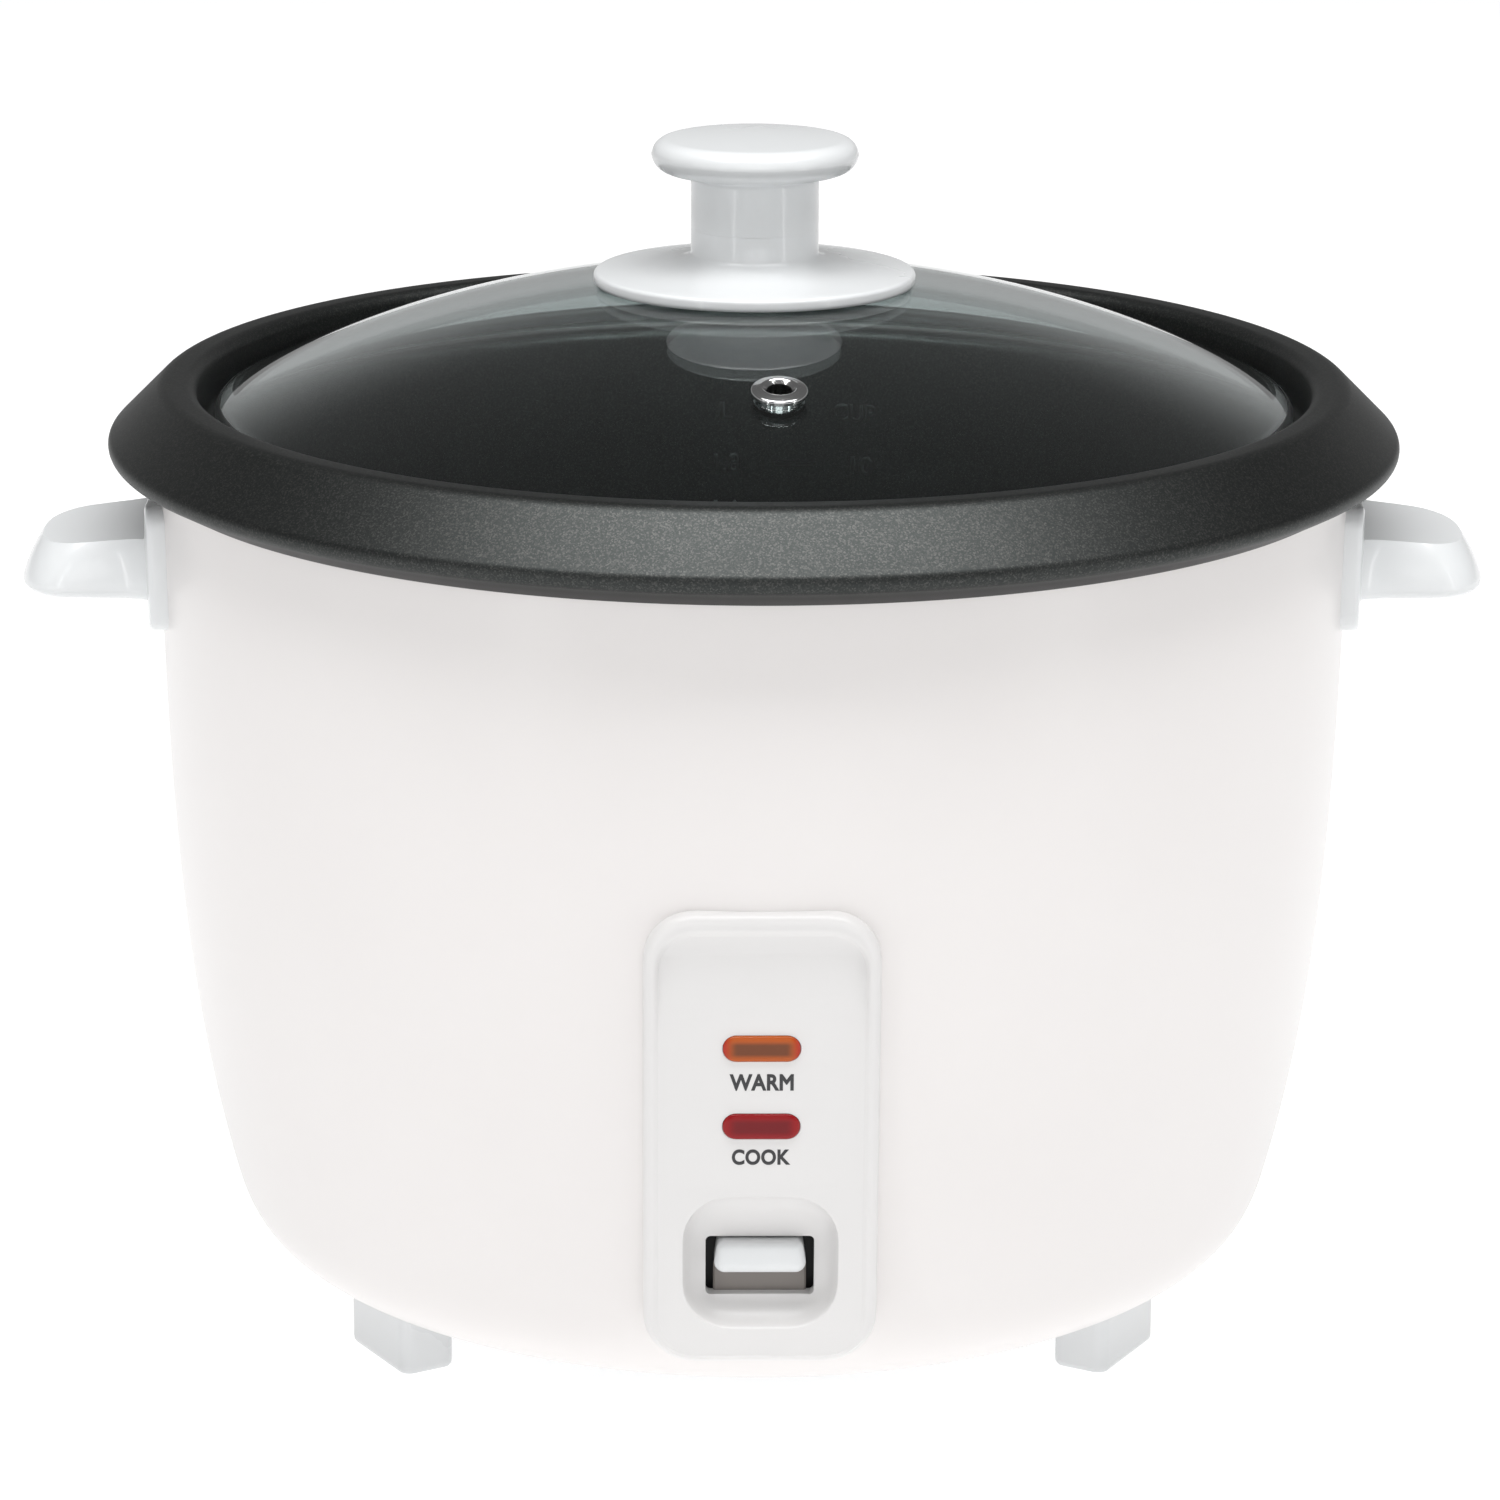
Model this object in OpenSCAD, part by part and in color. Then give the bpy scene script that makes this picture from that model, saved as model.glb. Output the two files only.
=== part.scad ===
// Drum rice cooker: painted steel body, lift-out non-stick pot, domed glass lid,
// cast heating plate, magnetic thermostat and a press-down cook lever.
// Millimetres. +Z is up, the table is z = 0, the control panel faces -Y.

/* [Body] */
// Outer radius of the painted shell at its top
body_r = 119.3; // [100:0.1:150]
// Height of the shell from its underside to its rolled top edge
body_h = 172.8; // [140:0.1:220]
// Sheet thickness of the shell
shell_t = 1; // [0.6:0.1:1.4]
// How much narrower the shell is at the heel than at the top
heel_in = 13.1; // [8:0.1:18]
// Height of the heel above the shell's underside
heel_h = 17.8; // [12:0.1:24]
// Height of the shell's underside above the table
foot_h = 13.2; // [9:0.1:18]

/* [Inner pot] */
// Sheet thickness of the pot
pot_t = 1.5; // [1:0.1:2]
// Gap between the pot's hem and the shell, on the radius
hem_gap = 1.5; // [1:0.1:3]
// Radius from the hem out to the brim's unrounded corner
brim_reach = 9.5; // [6:0.1:14]
// Height of the brim from its corner up to the rim's flat top
brim_rise = 12.4; // [8:0.1:16]
// Width of the rim's flat top, corner to corner
rim_flat = 6.6; // [5.5:0.1:9]
// Depth of the lid's seat below the rim
seat_depth = 9.8; // [7:0.1:13]
// Width of the lid's seat
seat_w = 6.6; // [5:0.1:9]
// Rise of the pot's floor at its centre
crown = 2.4; // [1:0.1:4]
// Radius of the corner between floor and wall
pot_corner = 22; // [14:1:22]

/* [Lid] */
// Thickness of the glass
glass_t = 4; // [3:0.1:5]
// Height of the dome's centre above its edge
dome_rise = 25.8; // [16:0.1:34]
// Distance of the steam vent from the lid's centre
vent_at = 68.4; // [50:0.1:80]
// Radius of the steam vent's hole
vent_r = 2.4; // [1.5:0.1:3.5]
// Direction of the vent from the front, in degrees
vent_turn = 3; // [-30:1:30]
// Radius of the knob's skirt
skirt_r = 32; // [26:0.1:38]
// Radius of the knob's stem
stem_r = 12.7; // [10:0.1:15]
// Radius of the knob's cap
cap_r = 20.5; // [17:0.1:26]
// Height of the knob above the glass
knob_h = 27.8; // [24:0.1:36]

/* [Control panel] */
// Width of the panel
panel_w = 44; // [38:0.1:54]
// Height of the panel's lower edge above the table
panel_low = 25.4; // [23:0.1:30]
// Height of the panel's upper edge above the table
panel_high = 117; // [108:0.1:125]
// Wall thickness of the panel
panel_t = 2.2; // [1.6:0.1:2.8]
// Width of a lamp lens
lens_w = 14.4; // [10:0.1:18]
// Height of a lamp lens
lens_h = 5.1; // [4:0.1:7]

/* [Cook lever] */
// Width of the paddle
paddle_w = 17.3; // [12:0.1:19]
// Height of the paddle
paddle_h = 6.3; // [5:0.1:7]
// Travel of the paddle
paddle_travel = 5; // [3:0.1:5.5]
// Distance of the lever's pin from the body's axis
pin_at = 44; // [38:0.1:48]

/* [Handles and feet] */
// How far a handle's grip stands out from the shell
grip_out = 27.6; // [20:0.1:34]
// Width of a grip
grip_w = 42; // [34:0.1:50]
// Width of a foot
foot_w = 24; // [18:0.1:30]
// Radial depth of a foot
foot_d = 11.8; // [9:0.1:12.4]

/* [Heater] */
// How far the heating plate stops short of the pot's wall
plate_short = 25.6; // [24:0.1:32]
// Height of the heating plate's underside above the table
plate_low = 53; // [51:0.1:58]
// Thickness of the heating plate at its edge
plate_t = 12; // [10:0.1:15]
// Radius of the sensor cup
sensor_r = 15.5; // [15:0.1:17]
// Rise of the sensor cup when the pot is lifted out
sensor_rise = 3; // [2:0.1:4]

/* [Hidden] */
$fn = 96;

// clearances
fit = 0.2;       // pieces that are screwed or clipped together
seat_gap = 0.3;  // pieces that lie on each other and come apart
run = 0.05;      // a pin in its bearing

// heights and radii that follow from the sizes above
shell_top = foot_h + body_h;
heel_z = foot_h + heel_h;
heel_r = body_r - heel_in;
lip_z = foot_h + shell_t;
base_r = heel_r - 20.2;
lip_r = base_r - 16;

hem_r = body_r + hem_gap;
brim_r = hem_r + brim_reach;
rim_z = shell_top + 7.2;
brim_z = rim_z - brim_rise;
hem_z = brim_z - 5;
ridge_r = brim_r - 12.5;
rim_r = ridge_r - rim_flat;
seat_z = rim_z - seat_depth;
wall_r = rim_r - seat_w - 1;
wall_taper = 5;
plate_r = wall_r - plate_short;
floor_z = plate_low + plate_t + seat_gap + pot_t;

glass_r = rim_r - 2.4;
glass_edge_z = seat_z + glass_t + seat_gap;
dome_r = (glass_r * glass_r + dome_rise * dome_rise) / (2 * dome_rise);
dome_top = glass_edge_z + dome_rise;

liner_t = 0.8;
liner_gap = 1.4;
liner_r = wall_r + pot_t + liner_gap;
liner_low_r = liner_r - wall_taper;
liner_top = seat_z - pot_t - 2.5;
liner_low = plate_low - 9;
liner_hole = plate_r - 38;

// the shell narrows slowly at first and quickly near the heel
slope_in = 2.2;
curve_power = 3.6;
function shell_r(z) =
    let (s = max(0, (shell_top - z) / (shell_top - heel_z)))
    body_r - slope_in * s - (heel_in - slope_in) * pow(s, curve_power);

// the dome's outer height and the pot floor's inner height at a radius
function dome_z(r) = dome_top - dome_r + sqrt(dome_r * dome_r - r * r);
floor_flat = plate_r;
function floor_at(r) = floor_z + crown * (1 - pow(min(r, floor_flat) / floor_flat, 2));

// ---------- outlines ----------

function unit(v) = v / norm(v);
function angle_of(v) = atan2(v[1], v[0]);
function half_turn(a) = a > 180 ? a - 360 : a < -180 ? a + 360 : a;

// the arc that rounds corner b between a and c
function corner_arc(a, b, c, r, steps) =
    let (
        u = unit(a - b), v = unit(c - b), half = acos(u * v) / 2,
        centre = b + unit(u + v) * r / sin(half),
        first = angle_of(b + u * r / tan(half) - centre),
        last = angle_of(b + v * r / tan(half) - centre),
        sweep = half_turn(last - first)
    )
    [for (i = [0:steps]) centre + r * [cos(first + sweep * i / steps), sin(first + sweep * i / steps)]];

// a line through [x, y, corner radius] points, with each inner corner rounded
function rounded(p, steps = 6) = [
    for (i = [0:len(p) - 1])
        let (here = [p[i][0], p[i][1]])
        if (i == 0 || i == len(p) - 1 || p[i][2] == 0) here
        else each corner_arc([p[i-1][0], p[i-1][1]], here, [p[i+1][0], p[i+1][1]], p[i][2], steps)
];

// the right-hand normal of a line at point i
function normal_at(p, i) =
    let (d = unit(p[min(i + 1, len(p) - 1)] - p[max(i - 1, 0)])) [d[1], -d[0]];

// a sheet of thickness t on the right of a line; its far end is round or square
function sheet(p, t, round_end = false) =
    let (
        last = len(p) - 1,
        back = [for (i = [last:-1:0]) let (q = p[i] + t * normal_at(p, i)) [p[i][0] == 0 ? 0 : q[0], q[1]]],
        n = normal_at(p, last),
        middle = p[last] + t / 2 * n,
        along = [-n[1], n[0]],
        nose = round_end
            ? [for (a = [15:15:165]) middle - t / 2 * n * cos(a) + t / 2 * along * sin(a)]
            : []
    )
    concat(p, nose, back);

function bezier(a, b, c, d, steps) = [
    for (i = [0:steps])
        let (t = i / steps, s = 1 - t) s*s*s*a + 3*s*s*t*b + 3*s*t*t*c + t*t*t*d
];

// the shell's outer line, from the rolled top down to the lip under the base
heel_tangent = [-(slope_in + (heel_in - slope_in) * curve_power) / (shell_top - heel_z), -1];
heel_reach = 11;
wall_line = [for (i = [0:22]) let (z = shell_top - 3 - (shell_top - 3 - heel_z) * i / 22) [shell_r(z), z]];
heel_line = bezier(
    [heel_r, heel_z], [heel_r, heel_z] + heel_reach * heel_tangent,
    [base_r + 12, foot_h + 3.6], [base_r, foot_h], 12);
heel_rest = [for (i = [1:12]) heel_line[i]];
roll_in = 3.2;
roll_line = corner_arc([body_r - 8, shell_top], [shell_r(shell_top - roll_in), shell_top],
    [shell_r(shell_top - roll_in), shell_top - roll_in - 2], roll_in, 8);
shell_line = concat([[body_r - 5, shell_top]], roll_line, [for (i = [1:22]) wall_line[i]], heel_rest,
    [[lip_r, foot_h]]);

// the sheet's inner line, with its last stretch level
shell_profile = let (
        n = len(shell_line) - 1,
        inner = [for (i = [n:-1:0])
            i >= n - 1 ? shell_line[i] + [0, shell_t] : shell_line[i] + shell_t * normal_at(shell_line, i)]
    ) concat(shell_line, inner);

// ---------- small helpers ----------

module turn(points) rotate_extrude() polygon(points);
module ring(r_out, r_in, low, high) {
    translate([0, 0, low]) difference() {
        cylinder(r = r_out, h = high - low);
        translate([0, 0, -1]) cylinder(r = r_in, h = high - low + 2);
    }
}
module stadium(w, h) {
    square([w - h, h], center = true);
    for (s = [-1, 1]) translate([s * (w - h) / 2, 0]) circle(d = h);
}
module rounded_plate(w, h, r) {
    square([w - 2 * r, h], center = true);
    square([w, h - 2 * r], center = true);
    for (x = [-1, 1], y = [-1, 1]) translate([x * (w / 2 - r), y * (h / 2 - r)]) circle(r = r);
}
module at_angles(angles) for (a = angles) rotate(a) children();

// an outline in the Y-Z plane, extruded across X
module across(w) rotate([90, 0, 90]) linear_extrude(height = w, center = true) children();

// a pan-head screw with its head at z = 0 and its shank going down
module screw(r, length, head_r, head_h) {
    difference() {
        cylinder(r = head_r, h = head_h);
        for (a = [0, 90]) rotate(a)
            translate([-head_r * 0.6, -head_r * 0.12, head_h * 0.55])
                cube([head_r * 1.2, head_r * 0.24, head_h]);
    }
    translate([0, 0, -length]) cylinder(r = r, h = length);
}

// a round tube along points, with a flat end at each point's own plane
function ring_of(c, d, r, sides) =
    let (
        w = unit(d), side = abs(w[2]) > 0.9 ? [1, 0, 0] : [0, 0, 1],
        u = unit(cross(side, w)), v = cross(w, u)
    )
    [for (k = [0:sides - 1]) c + r * (cos(360 * k / sides) * u + sin(360 * k / sides) * v)];
module tube(points, r, sides = 8) {
    n = len(points);
    rings = [for (i = [0:n - 1])
        each ring_of(points[i], points[min(i + 1, n - 1)] - points[max(i - 1, 0)], r, sides)];
    walls = [for (i = [0:n - 2], k = [0:sides - 1])
        let (a = i * sides + k, b = i * sides + (k + 1) % sides) [a, a + sides, b + sides, b]];
    caps = [[for (k = [0:sides - 1]) k], [for (k = [sides - 1:-1:0]) (n - 1) * sides + k]];
    polyhedron(rings, concat(walls, caps), convexity = 6);
}

// a compression spring that stands on low, with closed and flattened ends
module spring(r, wire, low, high, turns) {
    steps = 14;
    n = turns * steps;
    rise = high - low - 2 * wire;
    dead = 0.9 * steps;
    tube([for (i = [0:n])
        let (s = min(1, max(0, (i - dead) / (n - 2 * dead))), flat = i <= dead ? 1 : i >= n - dead ? -1 : 0)
        [r * cos(360 * i / steps), r * sin(360 * i / steps),
         low + wire + rise * (0.06 + 0.88 * s) + (flat == 1 ? -0.06 * rise * (1 - i / dead)
            : flat == -1 ? 0.06 * rise * (i - n + dead) / dead : 0)]], wire, 6);
}

// ---------- body ----------

handle_high = shell_top - 14.6;
handle_low = handle_high - 25.2;
handle_mid = (handle_high + handle_low) / 2;
screw_y = 13;
inlet_z = foot_h + 19.4;
inlet_w = 32;
inlet_h = 25;
foot_angles = [-60, 60, 180];
cover_angles = [40, 160, 280];
foot_screw_at = base_r - 6;
cover_screw_at = lip_r + 3.6;
window_w = 34;
window_low = panel_low + 4;
window_high = panel_high - 6;

// the opening in the shell behind the panel
module window(inset = 0) translate([-window_w / 2 + inset, -body_r - 10, window_low + inset])
    cube([window_w - 2 * inset, 40, window_high - window_low - 2 * inset]);

module outer_shell() color("whitesmoke") difference() {
    turn(shell_profile);
    window();
    translate([-inlet_w / 2 + 2, body_r - 40, inlet_z - inlet_h / 2 + 2])
        cube([inlet_w - 4, 60, inlet_h - 4]);
    for (s = [-1, 1], y = [-1, 1]) translate([s * body_r, y * screw_y, handle_mid])
        rotate([0, 90, 0]) cylinder(r = 1.9, h = 30, center = true);
    at_angles(foot_angles) translate([0, -foot_screw_at, foot_h - 5]) cylinder(r = 1.9, h = 20);
    at_angles(cover_angles) translate([0, -cover_screw_at, foot_h - 5]) cylinder(r = 1.9, h = 20);
    for (s = [-1, 1]) translate([s * inlet_screw_at, body_r, inlet_z])
        rotate([90, 0, 0]) cylinder(r = 1.5, h = 60, center = true);
}

// trim that covers the joint between the liner's flange and the shell
module top_ring() color("gainsboro")
    ring(shell_r(liner_top) - shell_t - fit, liner_r + 0.6, liner_top, liner_top + 1.5);

liner_line = rounded([
    [liner_hole, liner_low], [liner_low_r, liner_low, 16], [liner_r, liner_top, 1.6],
    [shell_r(liner_top) - shell_t - fit, liner_top]]);
module inner_liner() color("silver") difference() {
    turn(sheet(liner_line, liner_t));
    at_angles(heater_angles) translate([0, heater_bolt_at, liner_low - 5]) cylinder(r = 2.4, h = 10);
    for (s = [-1, 1]) rotate(leg_turn * s) translate([0, element_r, liner_low - 5]) cylinder(r = 6, h = 10);
}

// the liner's outer radius at a height above its bottom corner
function liner_out(z) =
    liner_low_r + liner_t + (liner_r - liner_low_r) * (z - liner_low) / (liner_top - liner_low);
band_low = floor_z + 18;
band_h = 26;
band_t = 1;
module warm_heater_band() color("darkgoldenrod") difference() {
    turn([for (p = [[0, 0], [band_t, 0], [band_t, band_h], [0, band_h]])
        [liner_out(band_low + p[1]) + fit + p[0], band_low + p[1]]]);
    translate([-3, 0, band_low - 1]) cube([6, body_r, band_h + 2]);
}

cover_r = lip_r + 5.7;
vent_pitch = 8;
vent_field = lip_r - 18;
vent_rows = floor(vent_field / vent_pitch) - 1;
cover_t = 1.8;
module bottom_cover() color("gainsboro") difference() {
    union() {
        translate([0, 0, foot_h - cover_t]) cylinder(r = cover_r, h = cover_t);
        ring(lip_r - fit, lip_r - 2.2, foot_h, foot_h + 3);
    }
    at_angles(cover_angles) translate([0, -cover_screw_at, 0]) {
        cylinder(r = 1.9, h = 30);
        cylinder(r = 3.6, h = foot_h - cover_t + 0.8);
    }
    for (k = [-vent_rows:vent_rows]) translate([k * vent_pitch, 0, 0]) rotate(90)
        linear_extrude(height = 30) stadium(2 * sqrt(pow(vent_field, 2) - pow(k * vent_pitch, 2)), 3.2);
}

module bottom_screws() color("silver")
    at_angles(cover_angles) translate([0, -cover_screw_at, foot_h - cover_t + 0.8])
        rotate([180, 0, 0]) screw(1.7, 9, 3.4, 1.4);

// a solid of the shell's outer shape, to cut what lies against it
module body_form(grow = 0)
    rotate_extrude($fn = 360) polygon(concat([[0, shell_top + 40]], [[body_r + grow, shell_top + 40]],
        [for (p = shell_line) if (p[1] < shell_top - roll_in) p + [grow, 0]], [[0, foot_h]]));

module foot() {
    corner = 2;
    outer = base_r + 1.9;
    difference() {
        intersection() {
            translate([0, -outer + foot_d / 2, 0])
                linear_extrude(height = foot_h + 6) rounded_plate(foot_w, foot_d, corner);
            cylinder(r = outer, h = foot_h + 6);
        }
        body_form();
        translate([0, 0, foot_h]) cylinder(r = base_r - 0.5, h = 20);
        translate([0, -foot_screw_at, 3]) cylinder(r = 1.7, h = 30);
    }
}
module foot_front_left() color("whitesmoke") rotate(foot_angles[0]) foot();
module foot_front_right() color("whitesmoke") rotate(foot_angles[1]) foot();
module foot_rear() color("whitesmoke") rotate(foot_angles[2]) foot();
module foot_screws() color("silver")
    at_angles(foot_angles) translate([0, -foot_screw_at, lip_z]) screw(1.65, lip_z - 4, 3.4, 1.8);

// ---------- handles ----------

flange_t = 3.4;
flange_w = 54;
grip_high = handle_high - 6.6;
grip_low = grip_high - 13.4;
grip_fall = 3.8;
grip_wall = 2.4;
// the grip's outline in the X-Z plane: its top falls towards the tip, its underside is flat
grip_line = let (root = shell_r(grip_low) - 6, tip = body_r + grip_out) rounded([
    [root, grip_low, 0], [tip - 1.4, grip_low, 2.4], [tip, grip_low + 4, 3],
    [tip - 3.6, grip_high - grip_fall, 2.6], [root, grip_high + 0.6, 0]]);
module handle() difference() {
    union() {
        intersection() {
            translate([body_r, 0, handle_mid]) rotate([0, 90, 0])
                linear_extrude(height = 60, center = true)
                    rounded_plate(handle_high - handle_low, flange_w, 5);
            rotate_extrude() polygon([[body_r - 20, handle_low - 5],
                [shell_r(handle_low - 5) + flange_t, handle_low - 5],
                [shell_r(handle_high + 5) + flange_t, handle_high + 5], [body_r - 20, handle_high + 5]]);
        }
        intersection() {
            rotate([90, 0, 0]) linear_extrude(height = grip_w, center = true) polygon(grip_line);
            linear_extrude(height = shell_top) polygon(grip_plan());
        }
    }
    body_form();
    difference() {
        translate([body_r + 1, 0, grip_low - 6]) linear_extrude(height = grip_high - grip_low + 6)
            translate([(grip_out - 4) / 2 + 1, 0]) rounded_plate(grip_out - 8, grip_w - 10, 4);
        translate([body_r - 10, -60, grip_high - grip_fall - grip_wall]) cube([60, 120, 20]);
    }
    for (y = [-1, 1]) translate([body_r - 20, y * screw_y, handle_mid])
        rotate([0, 90, 0]) cylinder(r = 1.5, h = 20 + flange_t - 1.6);
}
// the grip's outline from above: it narrows a little towards the tip
function grip_plan() = let (tip = body_r + grip_out + 0.6, w = grip_w / 2) rounded([
    [body_r - 30, -w, 0], [tip - 6, -w + 0.6, 6], [tip, -w + 9, 8], [tip, w - 9, 8], [tip - 6, w - 0.6, 6],
    [body_r - 30, w, 0]]);
module right_handle() color("white") handle();
module left_handle() color("white") mirror([1, 0, 0]) handle();
module handle_screws() color("silver")
    for (s = [0, 180], y = [-1, 1]) rotate(s)
        translate([sqrt(pow(shell_r(handle_mid) - shell_t, 2) - screw_y * screw_y) - 0.6,
                   y * screw_y, handle_mid])
            rotate([0, -90, 0]) screw(1.45, 3.6, 3.2, 1.6);

// ---------- control panel ----------

panel_mid_z = (panel_low + panel_high) / 2;
panel_top_y = shell_r(panel_high) + 2.2;
panel_low_y = shell_r(panel_low) + 6;
panel_tilt = atan((panel_top_y - panel_low_y) / (panel_high - panel_low));
panel_len = (panel_high - panel_low) / cos(panel_tilt);
panel_corner = 10;
strap_heights = [30, -6];
strap_screw_x = 14;
strap_depth = 4.8;
strap_t = 1;
face_sink = 1.2;
warm_at = 19.2;
cook_at = 3.4;
recess_at = -24.9;
recess_w = 28.8;
recess_h = 27;
recess_deep = 4.4;
recess_corner = 9;
slot_w = paddle_w + 3.2;
slot_h = paddle_h + paddle_travel + 0.8;
slot_at = recess_at - 3.2;

// the panel's own plane: X to the right, Y up its face, Z out of it
module on_panel() translate([0, -(panel_top_y + panel_low_y) / 2, panel_mid_z])
    rotate([90 + panel_tilt, 0, 0]) children();

module control_panel() color("gainsboro") difference() {
    union() {
        difference() {
            on_panel() difference() {
                translate([0, 0, -25]) linear_extrude(height = 25)
                    rounded_plate(panel_w, panel_len, panel_corner);
                translate([0, 0, -30]) linear_extrude(height = 30 - panel_t - face_sink)
                    rounded_plate(panel_w - 2 * panel_t, panel_len - 2 * panel_t, panel_corner - panel_t);
                translate([0, -1.6, -face_sink]) linear_extrude(height = 10)
                    rounded_plate(panel_w - 5.2, panel_len - 9.6, panel_corner - 1.5);
            }
            difference() {
                body_form();
                window(fit);
            }
        }
        on_panel() translate([0, recess_at, -face_sink - recess_deep - panel_t])
            linear_extrude(height = recess_deep + panel_t - 0.4)
                rounded_plate(recess_w + 3, recess_h + 3, recess_corner + 1.5);
        on_panel() for (x = [-1, 1], y = strap_heights) translate([x * strap_screw_x, y, -strap_depth])
            cylinder(r = 2.4, h = strap_depth - face_sink - 0.4);
    }
    on_panel() {
        translate([0, recess_at, -face_sink - recess_deep]) linear_extrude(height = 10)
            rounded_plate(recess_w, recess_h, recess_corner);
        translate([0, slot_at, -20]) linear_extrude(height = 30) square([slot_w, slot_h], center = true);
        for (y = [warm_at, cook_at]) translate([0, y, -20]) linear_extrude(height = 30)
            stadium(lens_w + fit, lens_h + fit);
        for (x = [-1, 1], y = strap_heights) translate([x * strap_screw_x, y, -strap_depth - 1])
            cylinder(r = 0.9, h = 3.2);
    }
}
// the straps bridge the window and clamp the panel to the shell from inside
module panel_straps() color("silver") on_panel() for (y = strap_heights)
    translate([0, y, -strap_depth - strap_t]) difference() {
        linear_extrude(height = strap_t) square([window_w + 5, 7], center = true);
        for (x = [-1, 1]) translate([x * strap_screw_x, 0, -1]) cylinder(r = 1.1, h = 4);
    }
module panel_screws() color("silver") on_panel() for (x = [-1, 1], y = strap_heights)
    translate([x * strap_screw_x, y, -strap_depth - strap_t]) rotate([180, 0, 0])
        screw(0.85, 3, 1.9, 1);

// a lens with a flange behind the face
module lens(y) on_panel() translate([0, y, -face_sink - panel_t]) {
    linear_extrude(height = panel_t + 0.7) stadium(lens_w, lens_h);
    translate([0, 0, -1]) linear_extrude(height = 1) stadium(lens_w + 2.6, lens_h + 2.6);
}
module warm_lens() color("peru") lens(warm_at);
module cook_lens() color("firebrick") lens(cook_at);

holder_back = -10;
module lamp_holder() color("tan") on_panel() difference() {
    union() {
        translate([0, (warm_at + cook_at) / 2, holder_back]) linear_extrude(height = 1.6)
            rounded_plate(22, 28, 2);
        for (x = [-1, 1]) translate([x * 9.8, (warm_at + cook_at) / 2, holder_back])
            cylinder(r = 1.6, h = -holder_back - face_sink - panel_t);
    }
    for (y = [warm_at, cook_at]) translate([0, y, holder_back - 1]) cylinder(r = 1.4, h = 4);
}
module lamp(y) on_panel() translate([0, y, holder_back + 1.6]) {
    cylinder(r = 2.4, h = 1.2);
    translate([0, 0, 1.2]) intersection() {
        sphere(r = 2.4);
        translate([-3, -3, 0]) cube([6, 6, 3]);
    }
    translate([0, 0, -2]) cylinder(r = 1.3, h = 2);
}
module warm_lamp() color("orange") lamp(warm_at);
module cook_lamp() color("red") lamp(cook_at);

// ---------- power inlet ----------

inlet_out = shell_r(inlet_z + inlet_h / 2) + 2.6;
inlet_deep = 16;
cavity_w = 24;
cavity_h = 16.4;
inlet_screw_at = 20;
module cavity_shape() difference() {
    rounded_plate(cavity_w, cavity_h, 1.6);
    for (s = [-1, 1]) translate([s * cavity_w / 2, -cavity_h / 2]) rotate(45) square(6.4, center = true);
}
module power_inlet() color("dimgray") difference() {
    union() {
        translate([0, inlet_out, inlet_z]) rotate([90, 0, 0]) {
            difference() {
                linear_extrude(height = 18) rounded_plate(50, inlet_h + 3, 4);
                translate([-50, -50, 3.2]) difference() {
                    cube([100, 100, 20]);
                    translate([50 - inlet_w / 2 + 2.4, 50 - inlet_h / 2 + 2.4, -1])
                        cube([inlet_w - 4.8, inlet_h - 4.8, 30]);
                }
            }
            linear_extrude(height = inlet_deep + 3)
                square([inlet_w - 4.8, inlet_h - 4.8], center = true);
        }
    }
    difference() {
        body_form();
        translate([-inlet_w / 2 + 2.3, 0, inlet_z - inlet_h / 2 + 2.3])
            cube([inlet_w - 4.6, 200, inlet_h - 4.6]);
    }
    translate([0, inlet_out + 1, inlet_z]) rotate([90, 0, 0])
        linear_extrude(height = inlet_deep + 1) cavity_shape();
    for (k = [-1:1]) translate([k * 7, inlet_out - inlet_deep + 2, inlet_z + (k == 0 ? 2 : -2)])
        rotate([90, 0, 0]) linear_extrude(height = 20) square([2 + 2 * run, 4 + 2 * run], center = true);
    for (s = [-1, 1]) translate([s * inlet_screw_at, inlet_out + 1, inlet_z]) rotate([90, 0, 0]) {
        cylinder(r = 1.6, h = 30);
        cylinder(r = 3, h = 2.2);
    }
}
module inlet_pins() color("silver") for (k = [-1:1])
    translate([k * 7, inlet_out - 4.4, inlet_z + (k == 0 ? 2 : -2)])
        rotate([90, 0, 0]) linear_extrude(height = 22) square([2, 4], center = true);
module inlet_screws() color("silver") for (s = [-1, 1])
    translate([s * inlet_screw_at, inlet_out - 1.2, inlet_z]) rotate([-90, 0, 0]) screw(1.45, 9, 2.8, 1.1);

// ---------- heater ----------

heater_angles = [60, 180, 300];
heater_bolt_at = plate_r - 12;
element_r = plate_r - 28;
element_wire = 4.2;
leg_turn = 22;
sensor_hole = sensor_r + 1.5;
plate_steps = 8;
plate_top = [for (i = [0:plate_steps])
    let (r = sensor_hole + (plate_r - sensor_hole) * i / plate_steps) [r, floor_at(r) - pot_t - seat_gap]];
module heating_plate() color("lightgray") difference() {
    turn(concat([[sensor_hole, plate_low]], plate_top, [[plate_r, plate_low + 3], [plate_r - 3, plate_low]]));
    ring(element_r + 8.5, element_r - 8.5, plate_low - 1, plate_low + 2.5);
    translate([0, 0, plate_low + 2.5]) rotate_extrude()
        translate([element_r, 0]) circle(r = element_wire + run);
    at_angles(heater_angles) translate([0, heater_bolt_at, plate_low - 1]) cylinder(r = 1.9, h = 8);
    for (s = [-1, 1]) translate([s * post_at, 0, plate_low - 1]) cylinder(r = 1.6, h = 7);
}
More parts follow.
